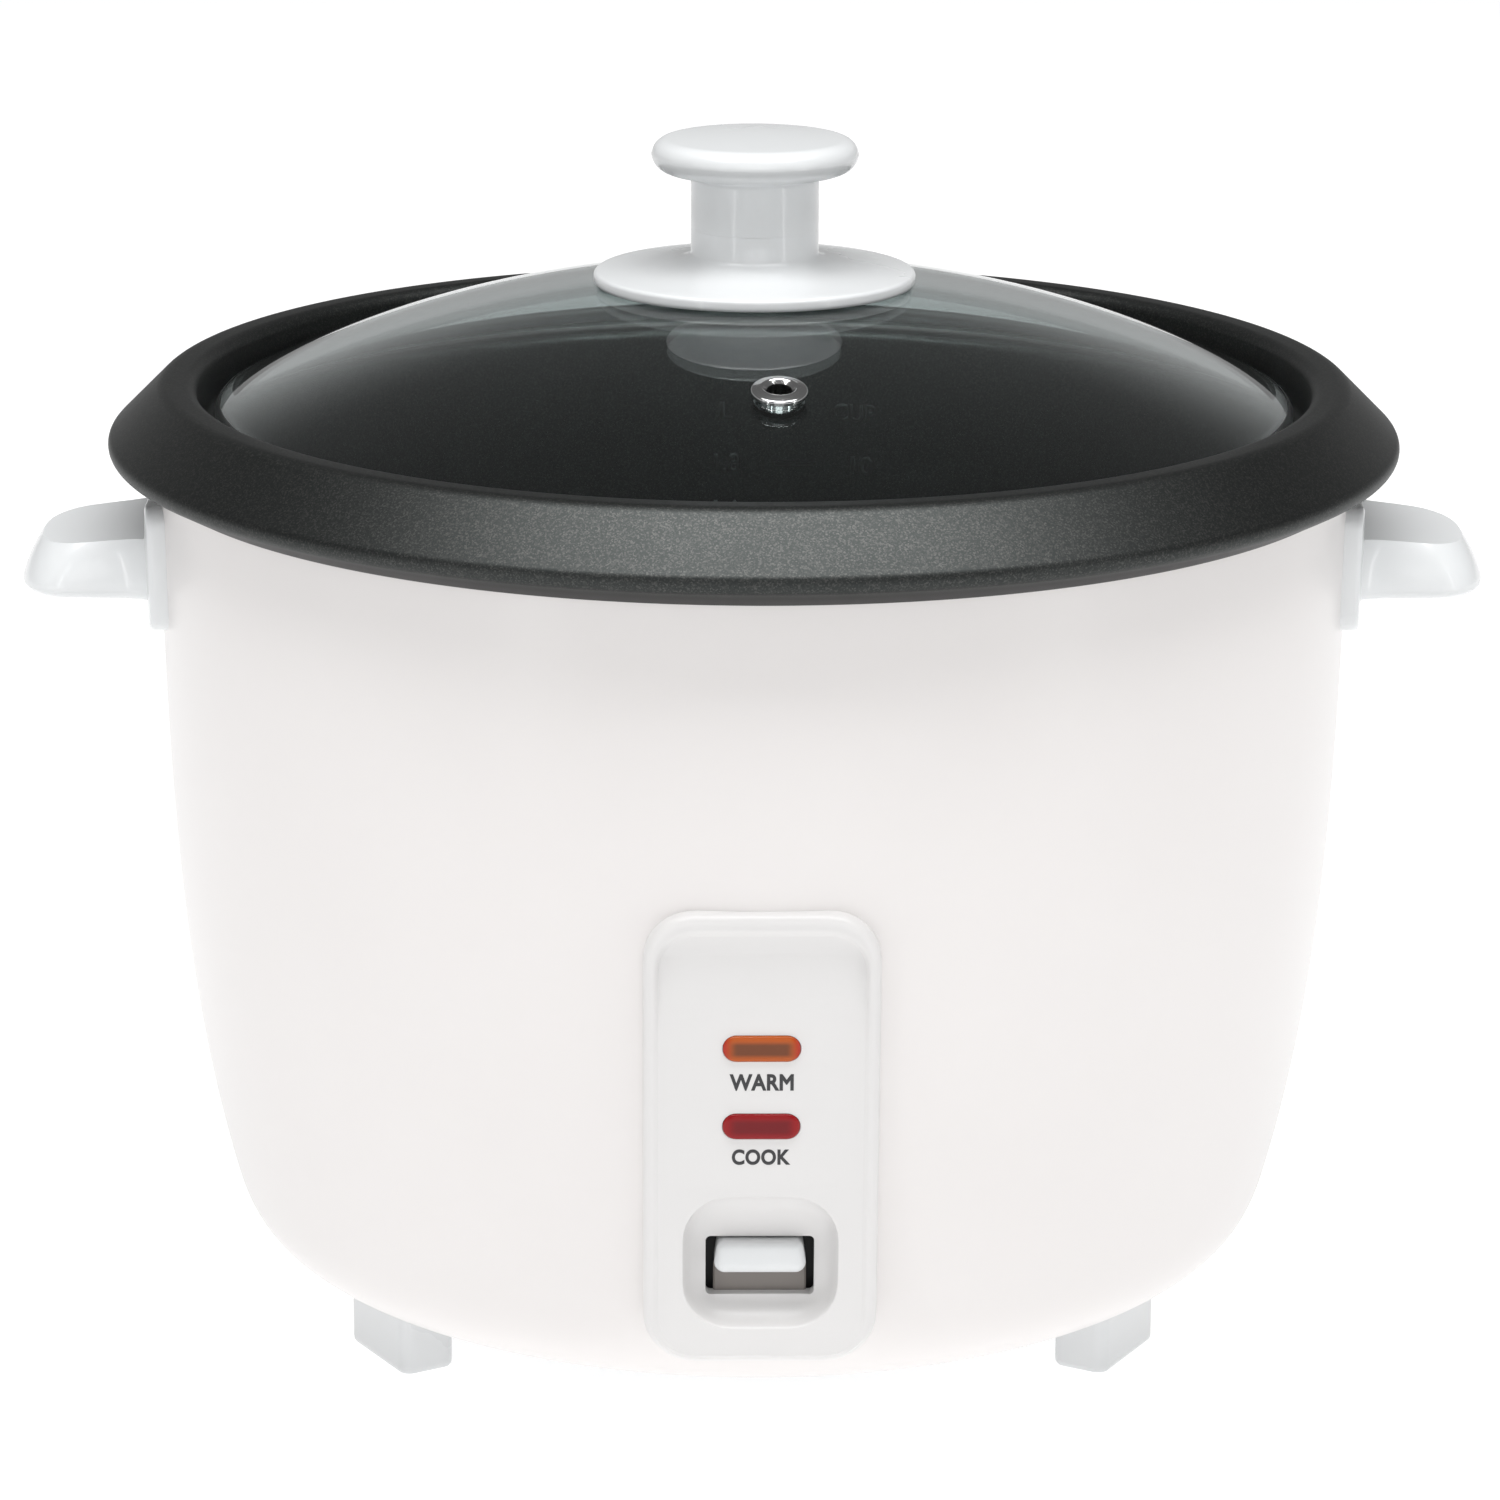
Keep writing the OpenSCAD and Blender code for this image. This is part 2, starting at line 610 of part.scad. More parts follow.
module heating_element() color("dimgray") {
    translate([0, 0, plate_low + 2.5]) rotate(90 + leg_turn)
        rotate_extrude(angle = 360 - 2 * leg_turn) translate([element_r, 0]) circle(r = element_wire);
    for (s = [-1, 1]) rotate(leg_turn * s) translate([0, element_r, 0]) {
        translate([0, 0, plate_low - 17]) cylinder(r = element_wire - 0.5, h = 19.5);
        translate([0, 0, plate_low - 20.5]) cylinder(r = 2, h = 3.5);
        translate([-3.1, -0.4, plate_low - 28]) cube([6.2, 0.8, 7.6]);
    }
}
module heater_spacers() color("silver") at_angles(heater_angles)
    translate([0, heater_bolt_at, 0]) ring(4.5, 1.9, liner_low, plate_low);
module heater_bolts() color("silver") at_angles(heater_angles)
    translate([0, heater_bolt_at, liner_low - liner_t]) rotate([180, 0, 0])
        screw(1.8, plate_low - liner_low + liner_t + 5, 4, 2.2);

fuse_turn = -35;
module thermal_fuse() color("gold") rotate(fuse_turn) translate([0, 31, plate_low - 3.4]) rotate([0, 90, 0]) {
    cylinder(r = 2, h = 12, center = true);
    cylinder(r = 0.5, h = 26, center = true);
}
module fuse_clip() color("silver") rotate(fuse_turn) translate([0, 31, 0]) difference() {
    translate([-3, -4, plate_low - 6.2]) cube([6, 8, 6.2]);
    translate([-4, -2.1, plate_low - 5.5]) cube([8, 4.2, 4.2]);
}

// ---------- thermostat and cook lever ----------

// heights of the mechanism, from the heating plate down
bracket_z = plate_low - 17;
bracket_t = 1.2;
pin_z = bracket_z - 6;
pin_r = 2;
post_at = liner_hole - 10;
strip_t = 1.6;
strip_z = pin_z - 0.4;
strip_w = 13;
ear_x = 8.4;
ear_t = 1.2;
paddle_back = 3.6;
sensor_top = floor_at(0) - pot_t - seat_gap - 0.1;
cup_low = plate_low - 6 - sensor_rise;
ferrite_low = sensor_top - 8;
// the paddle stands at the top of the panel's slot
paddle_y = (panel_top_y + panel_low_y) / 2 - 5 + (slot_at) * sin(panel_tilt) + 2.6;
slot_mid_z = panel_mid_z + slot_at * cos(panel_tilt);
paddle_top = slot_mid_z + slot_h / 2 + 0.2;
paddle_low = paddle_top - paddle_h;
switch_arm = 26;
switch_y = -pin_at - switch_arm;
lever_spring_y = 24 - paddle_y;
lever_swing = asin(paddle_travel / (paddle_y - paddle_back - pin_at));
magnet_rise = pin_at * sin(lever_swing);
magnet_top = ferrite_low - magnet_rise - 0.35;
magnet_h = 6;
shelf_z = pin_z - 12.6;

module switch_bracket() color("lightsteelblue") difference() {
    union() {
        translate([-post_at - 6, -pin_at - 6, bracket_z]) cube([2 * post_at + 12, pin_at + 20, bracket_t]);
        for (s = [0, 1]) mirror([s, 0, 0]) translate([ear_x, -pin_at - 6, pin_z - 6])
            cube([ear_t, 12, bracket_z - pin_z + 6.5]);
        translate([ear_x, lever_spring_y - 6, shelf_z])
            cube([ear_t, -lever_spring_y - pin_at + 8, pin_z - 5.5 - shelf_z]);
        translate([-6, lever_spring_y - 6, shelf_z]) cube([ear_x + 6.5, 12, 1.2]);
    }
    translate([0, 0, bracket_z - 1]) cylinder(r = 4, h = 4);
    for (s = [-1, 1]) translate([s * post_at, 0, bracket_z - 1]) cylinder(r = 1.6, h = 4);
    translate([0, -pin_at, pin_z]) rotate([0, 90, 0]) cylinder(r = pin_r, h = 60, center = true);
    for (y = [-7, 7]) translate([0, switch_y + y, pin_z - 10]) rotate([0, 90, 0]) cylinder(r = 1, h = 60);
}
module bracket_posts() color("silver") for (s = [-1, 1]) translate([s * post_at, 0, 0]) {
    translate([0, 0, bracket_z + bracket_t]) cylinder(r = 4, h = plate_low - bracket_z - bracket_t, $fn = 6);
    translate([0, 0, bracket_z - 3.2]) cylinder(r = 1.5, h = 3.2 + bracket_t);
    translate([0, 0, bracket_z - 2.4]) difference() {
        cylinder(r = 3.4, h = 2.4, $fn = 6);
        translate([0, 0, -1]) cylinder(r = 1.5, h = 4);
    }
    translate([0, 0, plate_low]) cylinder(r = 1.5, h = 5);
}
module lever_pin() color("silver") translate([0, -pin_at, pin_z]) rotate([0, 90, 0]) {
    cylinder(r = pin_r - 0.02, h = 2 * (ear_x + ear_t), center = true);
    for (s = [-1, 1]) translate([0, 0, s * (ear_x + ear_t + 0.6)]) cylinder(r = 3.2, h = 1.2, center = true);
}
// the strip runs under the magnet rod, past the pin, and up into the paddle
lever_line = rounded([
    [6, strip_z - strip_t, 0], [-paddle_y + 10.5, strip_z - strip_t, 4],
    [-paddle_y + 8.5, (paddle_top + paddle_low) / 2 - 0.8, 3],
    [-paddle_y + paddle_back, (paddle_top + paddle_low) / 2 - 0.8, 0]]);
module cook_lever() color("silver") difference() {
    union() {
        across(strip_w) polygon(sheet(lever_line, strip_t));
        translate([0, -pin_at, pin_z]) rotate([0, 90, 0]) cylinder(r = 4, h = 2 * ear_x - 1, center = true);
    }
    translate([0, -pin_at, pin_z]) rotate([0, 90, 0]) cylinder(r = pin_r + run, h = 60, center = true);
}
module cook_paddle() color("white") difference() {
    hull() for (x = [-1, 1], z = [paddle_low + 2, paddle_top - 1.6], y = [-paddle_y + 2, -paddle_y + 6.4])
        translate([x * (paddle_w / 2 - 2), y, z]) sphere(r = z > paddle_low + 2.1 ? 1.6 : 2, $fn = 32);
    across(strip_w + fit)
        polygon([[-paddle_y + paddle_back - fit / 2, (paddle_top + paddle_low) / 2 - 0.8 - fit / 2],
            [-paddle_y + 30, (paddle_top + paddle_low) / 2 - 0.8 - fit / 2],
            [-paddle_y + 30, (paddle_top + paddle_low) / 2 - 0.8 + strip_t + fit / 2],
            [-paddle_y + paddle_back - fit / 2, (paddle_top + paddle_low) / 2 - 0.8 + strip_t + fit / 2]]);
    across(strip_w + fit) translate([-paddle_y + 6.6, 0]) square([30, 200]);
}
module lever_spring() color("silver") translate([0, lever_spring_y, 0])
    spring(3.6, 0.45, shelf_z + 1.25, strip_z - strip_t - 0.1, 5);

module main_switch() color("saddlebrown") difference() {
    translate([-4, switch_y - 10, pin_z - 12.4]) cube([ear_x + 4, 20, 7.4]);
    translate([0, switch_y, pin_z - 9]) cylinder(r = 1.6, h = 10);
    for (y = [-7, 7]) translate([-10, switch_y + y, pin_z - 10]) rotate([0, 90, 0]) cylinder(r = 1, h = 60);
}
module switch_plunger() color("firebrick") translate([0, switch_y, pin_z - 6.2])
    cylinder(r = 1.5, h = strip_z - strip_t - pin_z + 6.2 - seat_gap);

module sensor_cup() color("silver") turn(rounded([
    [0, sensor_top, 0], [sensor_r, sensor_top, 1.6], [sensor_r, cup_low + 1.2, 0.6],
    [sensor_r + 2.6, cup_low + 1.2, 0], [sensor_r + 2.6, cup_low, 0], [sensor_r - 0.8, cup_low, 0.6],
    [sensor_r - 0.8, sensor_top - 1, 0], [0, sensor_top - 1, 0]], 4));
module sensor_ferrite() color("dimgray")
    translate([0, 0, ferrite_low]) cylinder(r = sensor_r - 0.9, h = sensor_top - 1 - ferrite_low);
module sensor_spring() color("silver")
    spring(sensor_r - 1.8, 0.45, bracket_z + bracket_t + 0.05, ferrite_low - 0.05, 6);
module magnet() color("dimgray") difference() {
    translate([0, 0, magnet_top - magnet_h]) cylinder(r = sensor_r - 3.6, h = magnet_h);
    translate([0, 0, magnet_top - magnet_h - 1]) cylinder(r = 2.3, h = magnet_h + 0.4);
}
module magnet_rod() color("silver") {
    foot_z = strip_z + seat_gap;
    translate([0, 0, foot_z + 2.2]) cylinder(r = 2.2, h = magnet_top - foot_z - 2.2 - 1);
    translate([0, 0, foot_z + 2.2]) sphere(r = 2.2);
}

// ---------- pot ----------

pot_line = rounded(concat(
    [for (r = [0:13:floor_flat - 6]) [r, floor_at(r), 0]],
    [[floor_flat, floor_z, 20], [wall_r - wall_taper, floor_z + 3, pot_corner],
     [wall_r, seat_z, 2.4], [rim_r - 0.8, seat_z, 2], [rim_r, rim_z, 2.6], [ridge_r, rim_z, 4],
     [brim_r, brim_z, 2.4], [hem_r, hem_z, 0]]), 7);
module inner_pot() color("dimgray") turn(sheet(pot_line, pot_t, true));

// ---------- lid ----------

dome_steps = 18;
dome_line = [for (i = [0:dome_steps]) let (r = (glass_r - glass_t * 0.6) * i / dome_steps) [r, dome_z(r)]];
vent_lean = asin(vent_at / dome_r);
hub_r = 9;
module at_vent()
    rotate(vent_turn) translate([0, -vent_at, dome_z(vent_at)]) rotate([vent_lean, 0, 0]) children();
module lid_glass() color("lightcyan", 0.4) difference() {
    turn(sheet(dome_line, glass_t, true));
    translate([0, 0, dome_top - 10]) cylinder(r = 3, h = 20);
    at_vent() cylinder(r = vent_r + 1, h = 20, center = true);
}
module vent_eyelet() color("silver") at_vent() turn([
    [vent_r, -glass_t - 1], [vent_r + 2.4, -glass_t - 1], [vent_r + 2.4, -glass_t - 0.1],
    [vent_r + 0.9, -glass_t - 0.1], [vent_r + 0.9, 0.1], [vent_r + 3, 0.1], [vent_r + 3, 0.6],
    [vent_r + 2.4, 1.2], [vent_r + 0.8, 1.3], [vent_r, 0.7]]);

knob_top = dome_top + knob_h;
gasket_t = 1;
knob_split = dome_top + 9.3;
skirt_edge = dome_z(skirt_r) + 0.3;
knob_bore = 1.9;
// the skirt sweeps up from its edge into the stem
skirt_curve = bezier([skirt_r - 0.7, skirt_edge + 2.4], [skirt_r - 9, skirt_edge + 3.8],
    [stem_r + 1.2, dome_top + 1.7], [stem_r, dome_top + 4.4], 8);
module knob_skirt() color("white") turn(concat(
    [[knob_bore, dome_top + gasket_t], [hub_r, dome_top + gasket_t], [hub_r + 1.5, dome_z(hub_r) + 1.6],
     [skirt_r - 3, dome_z(skirt_r - 3) + 1.2], [skirt_r - 1.4, skirt_edge], [skirt_r - 0.4, skirt_edge],
     [skirt_r, skirt_edge + 0.7], [skirt_r, skirt_edge + 1.7]],
    skirt_curve, [[stem_r, knob_split], [knob_bore, knob_split]]));
cap_h = 7.2;
module knob_cap() color("white") turn(concat(
    [[0, knob_split + 10], [knob_bore - 0.3, knob_split + 10], [knob_bore - 0.3, knob_split]],
    rounded([[stem_r, knob_split, 0], [stem_r, knob_top - cap_h, 1.6], [cap_r, knob_top - cap_h, 3.6],
        [cap_r, knob_top - 0.8, 3.4], [0, knob_top + 0.2, 0]])));
module knob_gasket() color("lightgray") ring(hub_r - 0.6, 3.2, dome_top - 0.02, dome_top + gasket_t);
module knob_washer() color("silver") ring(8, 2, dome_top - glass_t - 1.4, dome_top - glass_t - 0.3);
module knob_screw() color("silver") translate([0, 0, dome_top - glass_t - 1.4])
    rotate([180, 0, 0]) screw(1.55, 22, 4, 2);

// ---------- wiring ----------

wire_r = 1.3;
// one smooth run through hand-placed points
function smooth_run(p, per = 5) = [
    for (i = [0:len(p) - 2], k = [0:per - 1])
        let (t = k / per, a = p[max(i - 1, 0)], b = p[i], c = p[i + 1], d = p[min(i + 2, len(p) - 1)])
        0.5 * (2*b + (c - a) * t + (2*a - 5*b + 4*c - d) * t*t + (3*b - a - 3*c + d) * t*t*t),
    p[len(p) - 1]
];
inlet_back = inlet_out - 27;
leg_x = element_r * sin(leg_turn);
leg_y = element_r * cos(leg_turn);
module wire_live() color("firebrick")
    tube(smooth_run([[-7, inlet_back, inlet_z - 2], [-9, inlet_back - 9, inlet_z - 6], [-40, 40, 24],
        [-46, 0, 22], [-34, -50, 20], [-10, switch_y, 20], [-4.2, switch_y, 20]]), wire_r);
module wire_neutral() color("royalblue")
    tube(smooth_run([[7, inlet_back, inlet_z - 2], [8, inlet_back - 8, inlet_z - 8], [14, 64, 24],
        [leg_x, leg_y + 4, 20], [leg_x, leg_y, plate_low - 28.3]]), wire_r);
module wire_earth() color("limegreen")
    tube(smooth_run([[0, inlet_back, inlet_z + 2], [0, inlet_back - 5, inlet_z + 1], [0, 66, 28],
        [0, 52, 38], [0, 52, liner_low - liner_t - 0.2]]), wire_r);
module wire_lamps() color("white")
    tube(smooth_run([[-3, -104.2, 76], [-10, -104.4, 70], [-19, -103.5, 62], [-21, -101, 50], [-24, -92, 38],
        [-26, -72, 31], [-28, -40, 26], [-30, 20, 25], [-leg_x, leg_y - 4, 20],
        [-leg_x, leg_y, plate_low - 28.3]]), wire_r * 0.8);

outer_shell();
top_ring();
inner_liner();
warm_heater_band();
bottom_cover();
bottom_screws();
foot_front_left();
foot_front_right();
foot_rear();
foot_screws();
left_handle();
right_handle();
handle_screws();
control_panel();
panel_straps();
panel_screws();
warm_lens();
cook_lens();
lamp_holder();
warm_lamp();
cook_lamp();
power_inlet();
inlet_pins();
inlet_screws();
heating_plate();
heating_element();
heater_spacers();
heater_bolts();
thermal_fuse();
fuse_clip();
switch_bracket();
bracket_posts();
lever_pin();
lever_spring();
main_switch();
switch_plunger();
cook_lever();
cook_paddle();
sensor_cup();
sensor_ferrite();
sensor_spring();
magnet();
magnet_rod();
inner_pot();
lid_glass();
vent_eyelet();
knob_skirt();
knob_cap();
knob_gasket();
knob_washer();
knob_screw();
wire_live();
wire_neutral();
wire_earth();
wire_lamps();
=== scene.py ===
import math

import bmesh
import bpy
from mathutils import Matrix, Vector


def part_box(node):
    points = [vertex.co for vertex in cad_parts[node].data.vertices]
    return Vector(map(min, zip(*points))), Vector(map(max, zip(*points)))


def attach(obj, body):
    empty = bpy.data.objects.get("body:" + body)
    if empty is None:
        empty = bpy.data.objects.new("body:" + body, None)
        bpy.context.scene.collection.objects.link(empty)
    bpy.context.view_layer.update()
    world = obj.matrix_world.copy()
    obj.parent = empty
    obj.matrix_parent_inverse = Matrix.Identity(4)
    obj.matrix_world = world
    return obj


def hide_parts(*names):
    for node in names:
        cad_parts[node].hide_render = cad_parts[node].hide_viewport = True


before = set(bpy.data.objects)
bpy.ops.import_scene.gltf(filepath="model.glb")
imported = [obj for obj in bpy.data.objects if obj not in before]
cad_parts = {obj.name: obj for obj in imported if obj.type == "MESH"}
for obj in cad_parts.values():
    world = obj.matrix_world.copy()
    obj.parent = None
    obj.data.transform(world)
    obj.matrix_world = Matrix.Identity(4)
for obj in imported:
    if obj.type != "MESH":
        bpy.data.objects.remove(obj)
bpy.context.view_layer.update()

scene = bpy.context.scene
MM = 0.001  # every size below is in millimetres, and meshes are made in metres


# ---- Camera --------------------------------------------------------------
# A long lens above the height of the lid, looking down at the front, turned
# about one degree off the control panel's axis.
camera_turn = math.radians(-0.95)
camera_fall = math.radians(15.66)
camera_roll = math.radians(0.25)
camera_reach = 1093.4
camera_height = 421.5
camera_shift = -0.5
camera = bpy.data.objects.new("camera", bpy.data.cameras.new("camera"))
camera.data.lens = 133.8
camera.data.sensor_width = 36
camera.data.clip_start = 0.05
look = Vector((-math.sin(camera_turn) * math.cos(camera_fall),
               math.cos(camera_turn) * math.cos(camera_fall),
               -math.sin(camera_fall)))
eye = Vector((camera_reach * math.sin(camera_turn) + camera_shift,
              -camera_reach * math.cos(camera_turn), camera_height)) * MM
camera.matrix_world = (Matrix.Translation(eye) @ look.to_track_quat("-Z", "Y").to_matrix().to_4x4()
                       @ Matrix.Rotation(camera_roll, 4, "Z"))
scene.collection.objects.link(camera)
scene.camera = camera


# ---- Studio --------------------------------------------------------------
# A seamless pale floor under a large overhead softbox, with a fill in front
# and small boxes at the sides. The tent round it is pale at table height and
# dim overhead.
scene.view_settings.view_transform = "Standard"


def feed(node, **sources):
    """Links sockets to a node's inputs, or sets them to plain values. n_0 is the first input."""
    for label, source in sources.items():
        slot = node.inputs[int(label[2:]) if label.startswith("n_") else label.replace("_", " ")]
        if isinstance(source, bpy.types.NodeSocket):
            node.id_data.links.new(source, slot)
        else:
            slot.default_value = source
    return node


def wire(tree, kind, **sources):
    return feed(tree.nodes.new(kind), **sources)


def fade(tree, value, low, high, bottom=0.0, top=1.0):
    """Runs smoothly from bottom to top as the value goes from low to high."""
    node = wire(tree, "ShaderNodeMapRange", Value=value, From_Min=low, From_Max=high,
                To_Min=bottom, To_Max=top)
    node.interpolation_type = "SMOOTHSTEP"
    return node.outputs["Result"]


tent = bpy.data.worlds.new("tent")
tent.use_nodes = True
sky_spot = wire(tent.node_tree, "ShaderNodeTexCoord")
sky_axes = wire(tent.node_tree, "ShaderNodeSeparateXYZ", n_0=sky_spot.outputs["Generated"]).outputs
table_level = fade(tent.node_tree, sky_axes["Y"], -0.1, 0.9, 0.3, 0.42)
feed(tent.node_tree.nodes["Background"], Color=(1.0, 1.0, 1.0, 1),
     Strength=fade(tent.node_tree, sky_axes["Z"], 0.1, 0.5, table_level, 0.13))
scene.world = tent


def shader_of(material):
    return material.node_tree.nodes["Principled BSDF"]


def finish(name, colour, roughness, **sockets):
    material = bpy.data.materials.new(name)
    material.use_nodes = True
    feed(shader_of(material), Base_Color=(*colour, 1), Roughness=roughness, **sockets)
    return material


bpy.ops.mesh.primitive_plane_add(size=7.6, location=(0, 0, 0))
floor = bpy.context.object
floor.name = "floor"
floor.data.materials.append(finish("floor_paint", (0.42, 0.42, 0.42), 0.8, Specular_IOR_Level=0.1,
                                   Emission_Color=(1, 1, 1, 1), Emission_Strength=0.8))


def softbox(name, place, aim, width, height, power):
    light = bpy.data.lights.new(name, "AREA")
    light.shape = "RECTANGLE"
    light.size, light.size_y = width, height
    light.energy = power
    lamp = bpy.data.objects.new(name, light)
    facing_aim = (Vector(aim) - Vector(place)).to_track_quat("-Z", "Y").to_matrix().to_4x4()
    lamp.matrix_world = Matrix.Translation(place) @ facing_aim
    lamp.visible_camera = False
    scene.collection.objects.link(lamp)


softbox("overhead", (0.0, -0.5, 2.2), (0, 0, 0.15), 2.5, 1.0, 66)
softbox("front_fill", (0.0, -3.2, 1.1), (0, 0, 0.1), 2.2, 1.7, 13)
softbox("bank_left", (-1.6, -0.9, 0.75), (0, 0, 0.12), 0.3, 1.3, 0.6)
softbox("bank_right", (1.65, -0.85, 0.75), (0, 0, 0.12), 0.3, 1.3, 0.6)
softbox("strip_left", (-0.36, -0.46, 0.26), (0, 0, 0.26), 0.03, 0.46, 0.2)
softbox("strip_right", (0.46, -0.36, 0.26), (0, 0, 0.26), 0.03, 0.46, 0.2)


# ---- Painted shell -------------------------------------------------------
# Deep-drawn steel sheet, spray-painted warm white and stoved. Its top edge is
# rolled in, and windows are punched for the control panel and the inlet.
def effect(name, inputs, outputs):
    """An empty shader group with named sockets, and its two ends."""
    group = bpy.data.node_groups.new(name, "ShaderNodeTree")
    for label, kind, value in inputs:
        socket = group.interface.new_socket(label, in_out="INPUT", socket_type="NodeSocket" + kind)
        if value is not None:
            socket.default_value = value
    for label in outputs:
        group.interface.new_socket(label, in_out="OUTPUT", socket_type="NodeSocketFloat")
    return group, group.nodes.new("NodeGroupInput").outputs, group.nodes.new("NodeGroupOutput")


def reckon(tree, kind, *terms):
    """A Math node; each term is a number or an output socket."""
    node = wire(tree, "ShaderNodeMath", **{f"n_{i}": term for i, term in enumerate(terms)})
    node.operation = kind
    return node.outputs[0]


# Spray and moulding texture: fine ripple for the bump, wide smudges for the gloss.
ripple, given, ripple_out = effect(
    "surface_ripple",
    [("Vector", "Vector", None), ("Scale", "Float", 400.0), ("Roughness", "Float", 0.3),
     ("Spread", "Float", 0.06)], ("Smudge", "Roughness", "Height"))
fine = wire(ripple, "ShaderNodeTexNoise", Vector=given["Vector"], Scale=given["Scale"], Detail=2)
wide = wire(ripple, "ShaderNodeTexNoise", Vector=given["Vector"], Scale=22, Detail=5)
drift = reckon(ripple, "MULTIPLY", reckon(ripple, "SUBTRACT", wide.outputs[0], 0.5), given["Spread"])
feed(ripple_out, Smudge=wide.outputs[0], Roughness=reckon(ripple, "ADD", drift, given["Roughness"]),
     Height=fine.outputs[0])


def place_effect(material, group, **values):
    """Puts an effect on the piece's own coordinates into a material."""
    node = material.node_tree.nodes.new("ShaderNodeGroup")
    node.node_tree = group
    spot = wire(material.node_tree, "ShaderNodeTexCoord")
    return feed(node, Vector=spot.outputs["Object"], **values).outputs


def raise_by(material, height, depth_mm, strength=1.0):
    bump = wire(material.node_tree, "ShaderNodeBump", Height=height, Distance=depth_mm * MM,
                Strength=strength)
    feed(shader_of(material), Normal=bump.outputs["Normal"])


def mixed(tree, mask, low, high):
    """A colour that runs from low to high with the mask; each is a colour or a socket."""
    node = tree.nodes.new("ShaderNodeMix")
    node.data_type = "RGBA"
    low, high = (colour if isinstance(colour, bpy.types.NodeSocket) else (*colour, 1)
                 for colour in (low, high))
    return feed(node, Factor=mask, A=low, B=high).outputs["Result"]


def tint_by(material, mask, low, high):
    feed(shader_of(material), Base_Color=mixed(material.node_tree, mask, low, high))


def textured(name, colour, roughness, scale, spread, depth_mm, tints=None, **sockets):
    """A finish with ripple in its surface. With tints, its colour drifts between the two."""
    material = finish(name, colour, roughness, **sockets)
    marks = place_effect(material, ripple, Scale=scale, Roughness=roughness, Spread=spread)
    feed(shader_of(material), Roughness=marks["Roughness"])
    raise_by(material, marks["Height"], depth_mm)
    if tints:
        tint_by(material, marks["Smudge"], *tints)
    return material


def rounded(points, steps=8, closed=False):
    """Points of (x, y, corner radius) as a line, with its corners made arcs."""
    line = []
    for i, (x, y, *radius) in enumerate(points):
        here = Vector((x, y))
        if not radius or radius[0] == 0 or (not closed and i in (0, len(points) - 1)):
            line.append(here)
            continue
        before = (Vector(points[i - 1][:2]) - here).normalized()
        after = (Vector(points[(i + 1) % len(points)][:2]) - here).normalized()
        half = before.angle(after) / 2
        centre = here + (before + after).normalized() * radius[0] / math.sin(half)
        start = here + before * radius[0] / math.tan(half) - centre
        end = here + after * radius[0] / math.tan(half) - centre
        first = math.atan2(start.y, start.x)
        sweep = (math.atan2(end.y, end.x) - first + math.pi) % (2 * math.pi) - math.pi
        for k in range(steps + 1):
            angle = first + sweep * k / steps
            line.append(centre + radius[0] * Vector((math.cos(angle), math.sin(angle))))
    return line


def sheet(line, thickness, nose=False):
    """A closed outline of sheet on the right-hand side of a line."""
    last = len(line) - 1
    normals = []
    for i in range(last + 1):
        along = (line[min(i + 1, last)] - line[max(i - 1, 0)]).normalized()
        normals.append(Vector((along.y, -along.x)))
    back = [line[i] + thickness * normals[i] for i in range(last, -1, -1)]
    if line[0].x == 0:
        back[-1].x = 0
    tip = []
    if nose:
        side = normals[last] * thickness / 2
        ahead = Vector((-side.y, side.x))
        tip = [line[last] + side - side * math.cos(a) + ahead * math.sin(a)
               for a in (math.radians(d) for d in range(15, 180, 15))]
    return list(line) + tip + back


def curve_of(a, b, c, d, steps):
    return [(1 - t) ** 3 * a + 3 * (1 - t) ** 2 * t * b + 3 * (1 - t) * t * t * c + t ** 3 * d
            for t in (k / steps for k in range(steps + 1))]


# The lathe: it turns a piece's outline, a line of points, round the axis.
lathe = bpy.data.node_groups.new("turned_outline", "GeometryNodeTree")
lathe.interface.new_socket("Outline", in_out="INPUT", socket_type="NodeSocketGeometry")
lathe.interface.new_socket("Steps", in_out="INPUT", socket_type="NodeSocketInt")
lathe.interface.new_socket("Material", in_out="INPUT", socket_type="NodeSocketMaterial")
lathe.interface.new_socket("Geometry", in_out="OUTPUT", socket_type="NodeSocketGeometry")
ends = lathe.nodes.new("NodeGroupInput").outputs
count = wire(lathe, "GeometryNodeAttributeDomainSize", Geometry=ends["Outline"]).outputs["Point Count"]
web = wire(lathe, "GeometryNodeMeshGrid", Vertices_X=reckon(lathe, "ADD", ends["Steps"], 1), Vertices_Y=count)
number = lathe.nodes.new("GeometryNodeInputIndex").outputs[0]
picked = lathe.nodes.new("GeometryNodeSampleIndex")
picked.data_type = "FLOAT_VECTOR"
picked.domain = "POINT"
feed(picked, Geometry=ends["Outline"], Value=lathe.nodes.new("GeometryNodeInputPosition").outputs[0],
     Index=reckon(lathe, "MODULO", number, count))
split = wire(lathe, "ShaderNodeSeparateXYZ", Vector=picked.outputs["Value"])
column = reckon(lathe, "FLOOR", reckon(lathe, "DIVIDE", number, count))
turn = reckon(lathe, "DIVIDE", reckon(lathe, "MULTIPLY", column, 2 * math.pi), ends["Steps"])
sideways = reckon(lathe, "MULTIPLY", split.outputs["X"], reckon(lathe, "SINE", turn))
forwards = reckon(lathe, "MULTIPLY", split.outputs["X"], reckon(lathe, "COSINE", turn))
spot = wire(lathe, "ShaderNodeCombineXYZ", X=sideways, Y=reckon(lathe, "MULTIPLY", forwards, -1.0),
            Z=split.outputs["Z"])
moved = wire(lathe, "GeometryNodeSetPosition", Geometry=web.outputs["Mesh"], Position=spot.outputs[0])
closed = wire(lathe, "GeometryNodeMergeByDistance", Geometry=moved.outputs[0], Distance=2e-6)
whole = wire(lathe, "GeometryNodeRealizeInstances", Geometry=closed.outputs[0])
